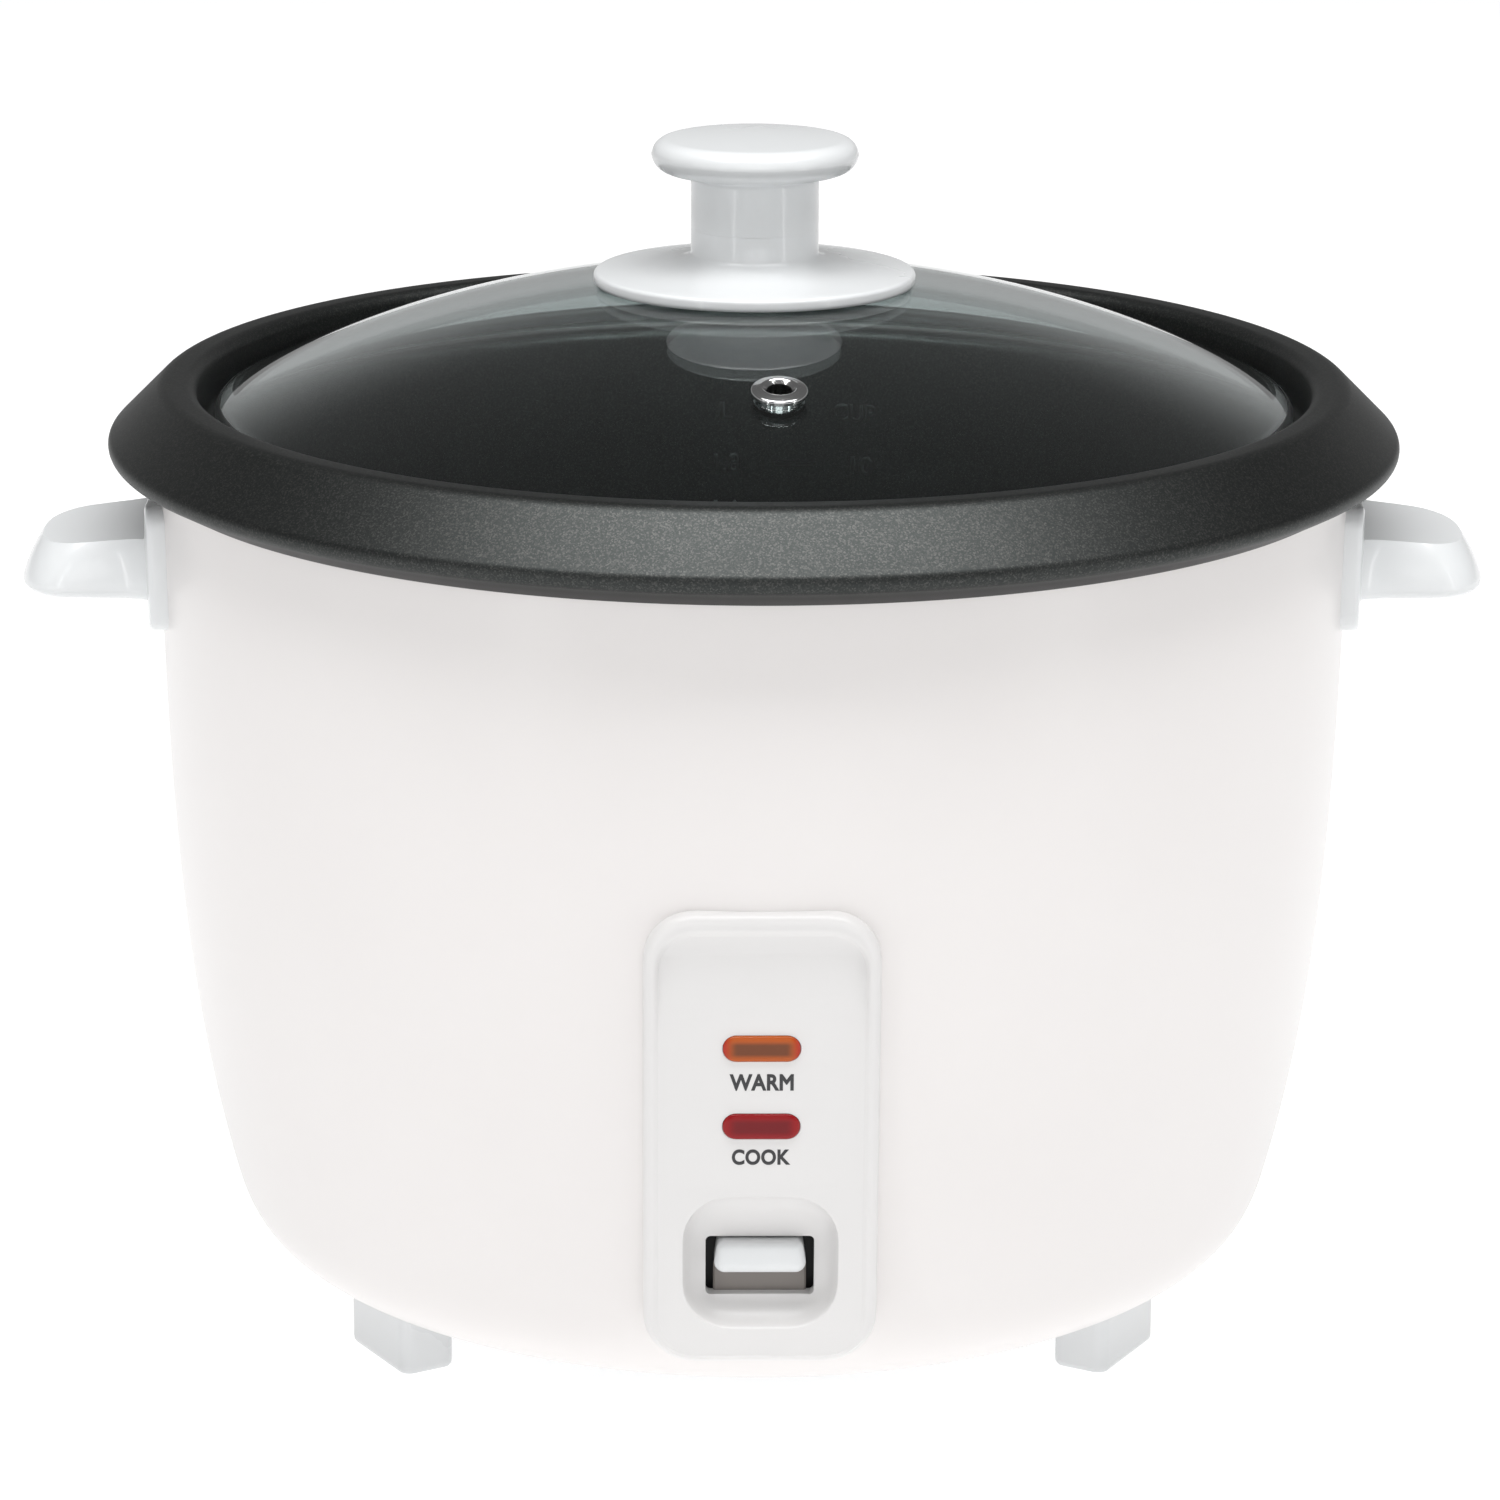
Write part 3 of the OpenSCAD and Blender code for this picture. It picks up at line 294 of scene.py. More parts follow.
coated = wire(lathe, "GeometryNodeSetMaterial", Geometry=whole.outputs[0], Material=ends["Material"])
lathe.links.new(coated.outputs[0], lathe.nodes.new("NodeGroupOutput").inputs[0])


def settle(piece, crease=35):
    """Makes a piece's modifiers part of its mesh, points its faces outwards and smooths it."""
    bpy.context.view_layer.update()
    made = bpy.data.meshes.new_from_object(piece.evaluated_get(bpy.context.evaluated_depsgraph_get()))
    piece.modifiers.clear()
    piece.data = made
    form = bmesh.new()
    form.from_mesh(made)
    bmesh.ops.remove_doubles(form, verts=form.verts, dist=1e-6)
    bmesh.ops.dissolve_degenerate(form, edges=form.edges, dist=1e-7)
    bmesh.ops.recalc_face_normals(form, faces=form.faces)
    form.to_mesh(made)
    form.free()
    made.shade_smooth()
    made.set_sharp_from_angle(angle=math.radians(crease))
    return piece


def added(name, mesh, *materials):
    """An object of a mesh, at the origin."""
    for material in materials:
        mesh.materials.append(material)
    piece = bpy.data.objects.new(name, mesh)
    scene.collection.objects.link(piece)
    return piece


def group_on(piece, group, **values):
    """Gives a piece a geometry group, with its inputs set by name."""
    tool = piece.modifiers.new(group.name, "NODES")
    tool.node_group = group
    for item in group.interface.items_tree:
        if item.in_out == "INPUT" and item.name in values:
            tool[item.identifier] = values[item.name]


def turned(name, outline, material, steps=192, crease=35):
    """A piece of the lathe, from an outline that is closed here."""
    outline = outline + outline[:1]
    mesh = bpy.data.meshes.new(name)
    mesh.from_pydata([(p.x * MM, 0, p.y * MM) for p in outline],
                     [(i, i + 1) for i in range(len(outline) - 1)], [])
    piece = added(name, mesh)
    group_on(piece, lathe, Steps=steps, Material=material)
    return settle(piece, crease)


corner_steps = 8


def ring(width, height, radius, middle=(0, 0), inset=0):
    """A rounded rectangle as a loop of points, drawn in by inset."""
    w, h = width / 2 - inset, height / 2 - inset
    r = min(max(radius - inset, 0.25), w - 0.01, h - 0.01)
    x, y = middle
    return rounded([(x + w, y + h, r), (x - w, y + h, r), (x - w, y - h, r), (x + w, y - h, r)],
                   corner_steps, True)


def walled(loops):
    """A form whose wall runs from loop to loop, closed at the first, and its last loop's corners."""
    form = bmesh.new()
    rows = [[form.verts.new(Vector(p) * MM) for p in loop] for loop in loops]
    for low, high in zip(rows, rows[1:]):
        for i in range(len(low)):
            k = (i + 1) % len(low)
            form.faces.new((low[i], low[k], high[k], high[i]))
    form.faces.new(rows[0])
    return form, rows[-1]


def cast(name, form, material, crease=35):
    mesh = bpy.data.meshes.new(name)
    form.to_mesh(mesh)
    form.free()
    return settle(added(name, mesh, material), crease)


def skinned(name, loops, material):
    """A closed solid whose wall runs from loop to loop, with flat ends."""
    form, last_row = walled(loops)
    form.faces.new(list(reversed(last_row)))
    return cast(name, form, material)


def worked(piece, how, *tools, crease=35):
    """Cuts the tools out of a piece, or joins them to it, and drops the tools."""
    for tool in tools:
        step = piece.modifiers.new(how, "BOOLEAN")
        step.operation = how
        step.solver = "EXACT"
        step.object = tool
    settle(piece, crease)
    for tool in tools:
        bpy.data.objects.remove(tool)
    return piece


def stands_for(piece, body, slot, *nodes):
    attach(piece, body)
    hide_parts(*nodes)


def dress(material, *nodes):
    """Gives CAD nodes a material."""
    for node in nodes:
        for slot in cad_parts[node].material_slots:
            slot.material = material


def block(name, low, high, material):
    (x, y, z), (X, Y, Z) = low, high
    return skinned(name, [[(x, y, h), (X, y, h), (X, Y, h), (x, Y, h)] for h in (z, Z)], material)


enamel = textured("warm_white_enamel", (0.78, 0.755, 0.745), 0.3, 330.0, 0.05, 0.008,
                  ((0.765, 0.738, 0.728), (0.795, 0.77, 0.76)), Coat_Weight=0.2, Coat_Roughness=0.25)

shell_low, shell_high = (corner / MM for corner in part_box("outer_shell"))
shell_top = shell_high.z
shell_foot = shell_low.z
shell_sheet = 1.0
body_r = 119.3
heel_in = 13.1
heel_z = shell_foot + 17.8
heel_r = body_r - heel_in
heel_sweep, lip_w, heel_reach = 20.2, 16, 11
base_r = heel_r - heel_sweep
lip_r = base_r - lip_w
slope_in = 2.2
curve_power = 3.6
roll_in = 3.2


def shell_r(z):
    s = max(0.0, (shell_top - z) / (shell_top - heel_z))
    return body_r - slope_in * s - (heel_in - slope_in) * s ** curve_power


roll_z = shell_top - roll_in
roll = rounded([(body_r - 5, shell_top), (shell_r(roll_z), shell_top, roll_in),
                (shell_r(roll_z), roll_z - 2)], 12)[:-1]
wall_steps = 60
wall = [Vector((shell_r(z), z)) for z in
        (roll_z - (roll_z - heel_z) * k / wall_steps for k in range(1, wall_steps + 1))]
steep = -(slope_in + (heel_in - slope_in) * curve_power) / (shell_top - heel_z)
heel = curve_of(Vector((heel_r, heel_z)), Vector((heel_r + heel_reach * steep, heel_z - heel_reach)),
                Vector((base_r + 12, shell_foot + 3.6)), Vector((base_r, shell_foot)), 24)[1:]
shell_line = roll + wall + heel + [Vector((lip_r, shell_foot))]
shell_outline = sheet(shell_line, shell_sheet)
shell = turned("painted_shell", shell_outline, enamel, 256)

window_low, window_high, window_half = 29.4, 111.0, 17.0
cut_near, cut_far = 85, 140  # how far from the middle a window's cutter reaches
inlet_low, inlet_high = (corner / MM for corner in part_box("power_inlet"))
inlet_z = (inlet_low.z + inlet_high.z) / 2
inlet_cut = (14.0, 10.5)
worked(shell, "DIFFERENCE",
       block("panel_window", (-window_half, -cut_far, window_low),
             (window_half, -cut_near, window_high), enamel),
       block("inlet_window", (-inlet_cut[0], cut_near, inlet_z - inlet_cut[1]),
             (inlet_cut[0], cut_far, inlet_z + inlet_cut[1]), enamel), crease=30)
stands_for(shell, "base", "painted_shell", "outer_shell")


# ---- Bottom cover, liner and sheet-metal fittings ------------------------
# Galvanised steel pressings: the vented cover underneath, the well that the
# pot sits in, and the brackets and straps inside.
spangle, given, spangle_out = effect(
    "zinc_spangle", [("Vector", "Vector", None), ("Scale", "Float", 120.0)], ("Fleck", "Roughness"))
crystals = wire(spangle, "ShaderNodeTexVoronoi", Vector=given["Vector"], Scale=given["Scale"])
shade = wire(spangle, "ShaderNodeSeparateColor", n_0=crystals.outputs["Color"])
feed(spangle_out, Fleck=shade.outputs[0],
     Roughness=reckon(spangle, "MULTIPLY_ADD", shade.outputs[1], 0.16, 0.3))

galvanised = finish("galvanised_sheet", (0.6, 0.61, 0.62), 0.38, Metallic=1.0)
flecks = place_effect(galvanised, spangle, Scale=130.0)
tint_by(galvanised, flecks["Fleck"], (0.54, 0.55, 0.56), (0.68, 0.69, 0.70))
feed(shader_of(galvanised), Roughness=flecks["Roughness"])
dress(galvanised, "inner_liner", "bottom_cover", "switch_bracket", "panel_straps", "fuse_clip")

dress(textured("bright_steel", (0.62, 0.62, 0.63), 0.28, 900.0, 0.14, 0.004, Metallic=1.0),
      "heater_spacers", "bracket_posts", "lever_pin", "lever_spring", "cook_lever", "sensor_spring",
      "magnet_rod", "knob_washer")
dress(textured("zinc_plate", (0.66, 0.66, 0.64), 0.3, 1500.0, 0.12, 0.006,
               ((0.58, 0.58, 0.55), (0.72, 0.72, 0.71)), Metallic=1.0),
      "bottom_screws", "foot_screws", "handle_screws", "panel_screws", "inlet_screws", "heater_bolts",
      "knob_screw")
dress(textured("heatproof_trim", (0.5, 0.5, 0.5), 0.5, 1600.0, 0.1, 0.01), "top_ring")
dress(textured("mica_wrap", (0.4, 0.29, 0.15), 0.35, 700.0, 0.25, 0.02, ((0.3, 0.2, 0.09), (0.5, 0.38, 0.2)),
               Coat_Weight=0.3, Coat_Roughness=0.2), "warm_heater_band")


# ---- Feet ----------------------------------------------------------------
# Three moulded blocks in the handles' white plastic, screwed to the shell's
# base from inside.
white_plastic = textured("glossy_white_plastic", (0.7, 0.71, 0.72), 0.28, 500.0, 0.06, 0.002,
                         ((0.705, 0.72, 0.728), (0.735, 0.75, 0.758)), Coat_Weight=0.45, Coat_Roughness=0.05)

body_line = [p for p in shell_line if p.y < roll_z]


def shell_form():
    """A closed solid of the shell's outer shape, to cut what lies against it."""
    top = shell_top + 40
    line = [Vector((0, top)), Vector((body_r, top))] + body_line + [Vector((0, shell_foot))]
    return turned("shell_form", line, enamel, 256)


foot_w, foot_d, foot_corner = 24.0, 11.8, 2.6
foot_out = base_r + 1.9
for foot_name, foot_turn in (("foot_front_left", -60), ("foot_front_right", 60), ("foot_rear", 180)):
    loops = []
    for inset, z in ((1.3, 0.0), (0.5, 0.25), (0.1, 0.8), (0.0, 1.5), (0.0, shell_foot + 6)):
        loops.append([(p.x, p.y - foot_out + foot_d / 2 + 0.35 * (p.x / 12) ** 2, z)
                      for p in ring(foot_w, foot_d, foot_corner, inset=inset)])
    foot = skinned(foot_name + "_block", loops, white_plastic)
    foot.data.transform(Matrix.Rotation(math.radians(foot_turn), 4, "Z"))
    worked(foot, "DIFFERENCE", shell_form())
    stands_for(foot, "base", "white_plastic", foot_name)


# ---- Power inlet ---------------------------------------------------------
# A black heat-resistant moulding with three flat nickelled pins.
dress(textured("black_moulding", (0.018, 0.018, 0.019), 0.42, 1800.0, 0.12, 0.012), "power_inlet")
dress(textured("nickelled_brass", (0.66, 0.6, 0.48), 0.22, 1200.0, 0.12, 0.003, Metallic=1.0),
      "inlet_pins", "thermal_fuse")


# ---- Heater and sensor ---------------------------------------------------
# A cast aluminium plate, faced on a lathe, over a steel-sheathed element. The
# sprung cup in its middle feels the pot's floor.
def from_axis(tree, place):
    """How far a place is from the upright axis."""
    level = wire(tree, "ShaderNodeVectorMath", n_0=place, n_1=(1, 1, 0))
    level.operation = "MULTIPLY"
    reach = wire(tree, "ShaderNodeVectorMath", n_0=level.outputs[0])
    reach.operation = "LENGTH"
    return reach.outputs["Value"]


facing, given, facing_out = effect(
    "lathe_facing", [("Vector", "Vector", None), ("Pitch", "Float", 0.0009)], ("Groove", "Streak"))
laps = reckon(facing, "DIVIDE", from_axis(facing, given["Vector"]), given["Pitch"])
streaks = facing.nodes.new("ShaderNodeTexNoise")
streaks.noise_dimensions = "1D"
feed(streaks, Scale=0.6, W=laps)
feed(facing_out, Groove=reckon(facing, "SINE", reckon(facing, "MULTIPLY", laps, 2 * math.pi)),
     Streak=streaks.outputs[0])

cast_aluminium = finish("faced_aluminium", (0.66, 0.66, 0.67), 0.34, Metallic=1.0)
rings = place_effect(cast_aluminium, facing, Pitch=0.0009)
tint_by(cast_aluminium, rings["Streak"], (0.56, 0.56, 0.57), (0.74, 0.74, 0.75))
raise_by(cast_aluminium, rings["Groove"], 0.012)
dress(cast_aluminium, "heating_plate", "sensor_cup")

dress(textured("element_sheath", (0.12, 0.115, 0.11), 0.5, 800.0, 0.2, 0.02,
               ((0.07, 0.065, 0.06), (0.18, 0.16, 0.15)), Metallic=0.8), "heating_element")
dress(textured("sintered_ferrite", (0.03, 0.03, 0.033), 0.6, 2500.0, 0.1, 0.015), "sensor_ferrite", "magnet")
dress(textured("brown_phenolic", (0.13, 0.062, 0.03), 0.38, 2200.0, 0.1, 0.01,
               ((0.1, 0.045, 0.02), (0.17, 0.085, 0.045))), "main_switch", "lamp_holder")
dress(textured("switch_button_red", (0.42, 0.03, 0.02), 0.35, 1500.0, 0.08, 0.006), "switch_plunger")
for wire_name, sleeve_colour in (("wire_live", (0.42, 0.02, 0.015)), ("wire_neutral", (0.02, 0.06, 0.4)),
                                 ("wire_earth", (0.05, 0.3, 0.03)), ("wire_lamps", (0.68, 0.66, 0.6))):
    dress(textured(wire_name + "_sleeve", sleeve_colour, 0.55, 1500.0, 0.15, 0.02, Sheen_Weight=0.15),
          wire_name)


# ---- Handles -------------------------------------------------------------
# One-piece white mouldings: a curved flange screwed to the shell from inside,
# and a hollow-backed grip whose flat top slopes down to its tip.
flange_high = shell_top - 14.6
flange_low = flange_high - 25.2
flange_mid = (flange_high + flange_low) / 2
flange_w, flange_t, flange_corner = 54.0, 3.4, 4.0
grip_low, grip_high, grip_fall = 151.4, 164.8, 3.8
grip_half, grip_out, grip_edge = 21.0, 27.3, 2.4
grip_tip = body_r + grip_out
grip_narrowing = 1.4
crease_root, crease_tip = 19.2, 15.6
cheek_angle = math.radians(44)
grip_root = body_r - 9
tip_bend = 10.0
root_flare, flare_len = 0.8, 5
climb_slant, lean_slant = 2.2, 1.8
pocket_root, pocket_wall = 5, 5


def grip_loop(side, rise, trim, cheek, slant):
    """The grip's outline from above at a share of its height. Its sides come in by trim and by a
    share of the cheek, and its end by trim and slant."""
    tip = grip_tip - trim - slant
    straight = tip - tip_bend
    half_loop = [(grip_root + (straight - grip_root) * k / 9, 1.0) for k in range(9)]
    for k in range(13):
        a = math.radians(90 * k / 12)
        half_loop.append((straight + tip_bend * math.sin(a) ** 0.8, math.cos(a) ** 0.8))
    loop = []
    for x, share in half_loop:
        t = (x - grip_root) / (grip_tip - grip_root)
        half = grip_half - grip_narrowing * t
        crease = crease_root + (crease_tip - crease_root) * t
        flare = root_flare * max(0.0, 1 - (x - body_r - flange_t + 1) / flare_len) ** 2
        z = grip_low + rise * (grip_high - grip_fall * t - grip_low)
        loop.append((side * x, max(0.0, (half - (half - crease) * cheek + flare - trim) * share), z))
    mirrored = [(x, -y, z) for x, y, z in reversed(loop[:-1])]
    return loop[:-1] + [(loop[-1][0], 0.0, loop[-1][2])] + mirrored


def handle_mesh(name, side):
    height = grip_high - grip_low
    loops = []
    for a in range(0, 91, 18):
        turn_in = math.radians(a)
        loops.append(grip_loop(side, grip_edge * (1 - math.cos(turn_in)) / height,
                               grip_edge * (1 - math.sin(turn_in)), 0.0, 0.0))
    first = grip_edge / height
    for k in range(1, 9):
        a = cheek_angle * k / 8
        climb = math.sin(a) / math.sin(cheek_angle)
        lean = (1 - math.cos(a)) / (1 - math.cos(cheek_angle))
        slant = climb_slant * climb + lean_slant * lean
        loops.append(grip_loop(side, first + (1 - first) * climb, 0.0, lean, slant))
    grip = skinned(name, loops, white_plastic)

    pocket_len = grip_out - pocket_root - pocket_wall
    pocket_high = grip_high - grip_fall - grip_edge
    pocket = [[(side * (body_r + pocket_root + pocket_len / 2 + p.x), p.y, z)
               for p in ring(pocket_len, 2 * (grip_half - pocket_wall), 4.5, inset=inset)]
              for inset, z in ((-0.8, grip_low - 3), (0.0, grip_low + 1.0), (0.5, pocket_high - 1.2),
                               (1.6, pocket_high))]

    loops = []
    for inset, out in ((0.0, -6.0), (0.0, flange_t - 0.9), (0.25, flange_t - 0.3), (0.8, flange_t),
                       (1.9, flange_t), (5.0, flange_t), (9.0, flange_t)):
        loop = []
        for p in ring(flange_w, flange_high - flange_low, flange_corner, inset=inset):
            z = flange_mid + p.y
            r = shell_r(z) + out
            loop.append((side * math.sqrt(r * r - p.x * p.x), p.x, z))
        loops.append(loop)
    worked(grip, "UNION", skinned(name + "_flange", loops, white_plastic))
    return worked(grip, "DIFFERENCE", skinned(name + "_pocket", pocket, white_plastic), shell_form())


stands_for(handle_mesh("right_grip", 1), "base", "white_plastic", "right_handle")
stands_for(handle_mesh("left_grip", -1), "base", "white_plastic", "left_handle")


# ---- Control panel -------------------------------------------------------
# A satin off-white moulding clamped over the shell's window. Its face is
# scooped a little inside a raised border, and a bowl surrounds the lever.
panel_low, panel_high = 25.4, 117.0
panel_w, panel_wall, panel_corner = 44.0, 2.2, 10.0
top_out, low_out = 2.2, 6.0  # how far the face stands out from the shell at its two ends
panel_top_y = shell_r(panel_high) + top_out
panel_low_y = shell_r(panel_low) + low_out
panel_tilt = math.atan((panel_top_y - panel_low_y) / (panel_high - panel_low))
panel_len = (panel_high - panel_low) / math.cos(panel_tilt)
panel_middle = Vector((0, -(panel_top_y + panel_low_y) / 2, (panel_low + panel_high) / 2)) * MM
panel_face = Matrix.Translation(panel_middle) @ Matrix.Rotation(math.radians(90) + panel_tilt, 4, "X")
warm_at, cook_at = 19.2, 3.4
bowl_at, bowl_w, bowl_h, bowl_deep, bowl_corner = -24.9, 28.8, 27.0, 6.2, 9.0
slot_at, slot_w, slot_h = -28.1, 20.5, 12.1
lens_w, lens_h = 14.4, 5.1

panel_plastic = textured("satin_panel_plastic", (0.72, 0.71, 0.705), 0.36, 1900.0, 0.05, 0.01,
                         ((0.71, 0.7, 0.695), (0.73, 0.72, 0.715)))


def ease(t):
    t = min(1.0, max(0.0, t))
    return t * t * (3 - 2 * t)


def face_z(y):
    """Height of the panel's face, which is scooped towards its top."""
    return -0.5 - 1.0 * ease((y - 17) / 20)


side_rows = 14


def tall_ring(width, low, high, radius):
    """A rounded rectangle with extra points up its two sides."""
    w = width / 2
    corners = ring(width, high - low, radius, (0, (low + high) / 2))
    half_way = 2 * (corner_steps + 1)
    sides = [low + radius + (high - low - 2 * radius) * k / (side_rows + 1) for k in range(1, side_rows + 1)]
    return (corners[:half_way] + [Vector((-w, y)) for y in reversed(sides)]
            + corners[half_way:] + [Vector((w, y)) for y in sides])


panel_half = panel_len / 2
border_drop, border_fade = 0.5, 13
inner = tall_ring(panel_w - 5.8, -panel_half + 2.4, panel_half - 4.8, 6.8)
loops = []
for inset, z in ((0.0, -26.0), (0.0, -2.0), (0.18, -1.2), (0.6, -0.5), (1.2, -0.12)):
    loops.append([(p.x, p.y, z) for p in tall_ring(panel_w - 2 * inset, -panel_half + inset,
                                                   panel_half - inset, panel_corner - inset)])
edge = loops[-1]
for share, drop in ((0.16, 0.0), (0.42, 0.04), (0.6, 0.2), (0.8, 0.62), (0.93, 0.92), (1.0, 1.0)):
    loop = []
    for p, q in zip(edge, inner):
        x, y = p[0] + (q.x - p[0]) * share, p[1] + (q.y - p[1]) * share
        border = -border_drop * (1 - ease((y + panel_half) / border_fade)) * ease(share * 3)
        loop.append((x, y, min(border + (face_z(y) - border) * drop, 0.0)))
    loops.append(loop)
form, last_row = walled(loops)
# The face is strips across the panel, so that it can be scooped.
quarter = corner_steps + 1
split_at = len(last_row) - side_rows - quarter
right = list(reversed(last_row[:quarter])) + list(reversed(last_row[split_at:]))
left = last_row[quarter:split_at]
for i in range(len(left) - 1):
    form.faces.new((right[i], left[i], left[i + 1], right[i + 1]))
panel = cast("panel_moulding", form, panel_plastic, 30)


def prism(name, rings_and_heights):
    return skinned(name, [[(p.x, p.y, z) for p in loop] for loop, z in rings_and_heights], panel_plastic)


inner_w, inner_h = panel_w - 2 * panel_wall, panel_len - 2 * panel_wall
worked(panel, "DIFFERENCE", prism("panel_hollow", [(ring(inner_w, inner_h, panel_corner - panel_wall), z)
                                                   for z in (-30, -2.2 - panel_wall)]))
worked(panel, "UNION", prism("bowl_boss", [(ring(bowl_w + 3, bowl_h + 3, bowl_corner + 1.5, (0, bowl_at)), z)
                                           for z in (-bowl_deep - panel_wall, -2.0)]))
bowl_face = face_z(bowl_at)
bowl_lip = bowl_face - 0.9
bowl = [(ring(bowl_w, bowl_h, bowl_corner, (0, bowl_at), -outset), z) for outset, z in
        ((0.7, 5.0), (0.6, bowl_face + 0.01), (0.25, bowl_face - 0.08), (0.05, bowl_face - 0.35),
         (0.0, bowl_lip))]
wide_ring = ring(bowl_w, bowl_h, bowl_corner, (0, bowl_at))
deep_ring = ring(bowl_w - 7.4, 13.6, 3.0, (0, bowl_at - 1.6))
for k in range(1, 9):
    a = math.radians(90 * k / 8)
    blend = 0.12 * k / 8 + 0.88 * (1 - math.cos(a))
    fall = bowl_lip - (bowl_deep + bowl_lip) * (0.15 * k / 8 + 0.85 * math.sin(a))
    bowl.append(([p.lerp(q, blend) for p, q in zip(wide_ring, deep_ring)], fall))
through = (-22, 8)
slot_cut = prism("lever_slot", [(ring(slot_w, slot_h, 1.0, (0, slot_at)), z) for z in through])
lens_cuts = [prism(f"lens_hole_{k}", [(ring(lens_w + 0.2, lens_h + 0.2, 2.6, (0, y)), z) for z in through])
             for k, y in enumerate((warm_at, cook_at))]
worked(panel, "DIFFERENCE", prism("bowl_cut", bowl), slot_cut, *lens_cuts, crease=32)
panel.data.transform(panel_face)
body_cut = shell_form()
spare = 0.2
worked(body_cut, "DIFFERENCE", block("window_clear", (-window_half + spare, -cut_far, window_low + spare),
                                     (window_half - spare, -cut_near, window_high - spare), enamel))
worked(panel, "DIFFERENCE", body_cut, crease=32)
stands_for(panel, "base", "panel_plastic", "control_panel")


# ---- Lamp lenses ---------------------------------------------------------
# Two capsule-shaped windows in amber and red acrylic, clipped in from behind
# the panel. A neon lamp sits behind each.
# Painted light and shade: each lens is coloured darker in its middle, for the dark lamp housing seen through
# it, and lighter in the bands above and below, for light gathered at its edges. The ends take a colour of
# their own.
lamp_shade, given, shade_out = effect(
    "lens_shade", [("Vector", "Vector", None), ("Middle", "Vector", (0, 0, 0)),
                   ("Half Width", "Float", 0.007), ("Half Height", "Float", 0.0025)], ("Core", "Rim"))
from_middle = wire(lamp_shade, "ShaderNodeVectorMath", n_0=given["Vector"], n_1=given["Middle"])
from_middle.operation = "SUBTRACT"
apart = wire(lamp_shade, "ShaderNodeSeparateXYZ", n_0=from_middle.outputs[0]).outputs
along_x = reckon(lamp_shade, "DIVIDE", reckon(lamp_shade, "ABSOLUTE", apart["X"]), given["Half Width"])
along_z = reckon(lamp_shade, "DIVIDE", reckon(lamp_shade, "ABSOLUTE", apart["Z"]), given["Half Height"])
feed(shade_out, Core=reckon(lamp_shade, "MULTIPLY", fade(lamp_shade, along_z, 0.3, 0.75, 1.0, 0.0),
                            fade(lamp_shade, along_x, 0.62, 0.9, 1.0, 0.0)),
     Rim=fade(lamp_shade, along_x, 0.7, 1.0))

lens_flange = 1.3
# For each lens: the band colour, painted lighter as light through its edges; the core colour, painted darker
# as shade from the lamp housing behind; and the colour of its ends.
for lens_name, lens_y, lens_slot, (lit_band, shaded_core, end_colour) in (
        ("warm", warm_at, "amber_lens", ((0.43, 0.088, 0.014), (0.16, 0.05, 0.02), (0.4, 0.026, 0.012))),
        ("cook", cook_at, "red_lens", ((0.25, 0.005, 0.008), (0.16, 0.006, 0.009), (0.28, 0.008, 0.009)))):
    acrylic = finish(lens_name + "_acrylic", lit_band, 0.16, Specular_IOR_Level=0.25)
    shade = place_effect(acrylic, lamp_shade, Half_Width=0.5 * lens_w * MM, Half_Height=0.5 * lens_h * MM,
                         Middle=panel_face @ Vector((0, lens_y * MM, 0)))
    tint_by(acrylic, shade["Core"], mixed(acrylic.node_tree, shade["Rim"], lit_band, end_colour), shaded_core)
    clip_ring = ring(lens_w + 2 * lens_flange, lens_h + 2 * lens_flange, 3.8, (0, lens_y))
    loops = [[(p.x, p.y, z) for p in clip_ring] for z in (-4.4, -3.4)]
    for inset, z in ((0.0, -3.4), (0.0, 0.1), (0.12, 0.32), (0.45, 0.5), (1.0, 0.58), (1.9, 0.6)):
        loops.append([(p.x, p.y, z + (face_z(lens_y) if z > 0 else 0))
                      for p in ring(lens_w, lens_h, 2.5, (0, lens_y), inset)])
    lens = skinned(lens_name + "_window", loops, acrylic)
    lens.data.transform(panel_face)
    stands_for(lens, "base", lens_slot, lens_name + "_lens")


# ---- Panel lettering -----------------------------------------------------
# The two lamps' functions, pad-printed in dark grey under each lens.
ink = textured("pad_print_ink", (0.03, 0.03, 0.033), 0.55, 1500.0, 0.1, 0.002)


def printed(name, words, width, height, place, material, body):
    """Words as thin flat solids, sized to width and height and put at place."""
    curve = bpy.data.curves.new(name, "FONT")
    curve.body = words
    curve.size = 1
    curve.extrude = 0.004
    curve.bevel_depth = 0.035
    curve.bevel_resolution = 0
    curve.space_character = 1.06
    curve.align_x = "CENTER"
    curve.align_y = "CENTER"
    text = bpy.data.objects.new(name, curve)
    scene.collection.objects.link(text)
    bpy.context.view_layer.update()
    mesh = bpy.data.meshes.new_from_object(text.evaluated_get(bpy.context.evaluated_depsgraph_get()))
    bpy.data.objects.remove(text)
    xs = [v.co.x for v in mesh.vertices]
    ys = [v.co.y for v in mesh.vertices]
    middle = Vector(((min(xs) + max(xs)) / 2, (min(ys) + max(ys)) / 2, 0))
    to_size = Matrix.Diagonal((width / (max(xs) - min(xs)) * MM, height / (max(ys) - min(ys)) * MM,
                               1.6 * MM, 1))
    mesh.transform(place @ to_size @ Matrix.Translation(-middle))
    mesh.materials.clear()
    piece = settle(added(name, mesh, material))
    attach(piece, body)


for label, label_y, label_w, label_h in (("WARM", 12.4, 11.9, 3.4), ("COOK", -2.9, 10.9, 3.2)):
    on_face = panel_face @ Matrix.Translation((0, label_y * MM, (face_z(label_y) + 0.03) * MM))
    printed(label.lower() + "_label", label, label_w, label_h, on_face, ink, "base")
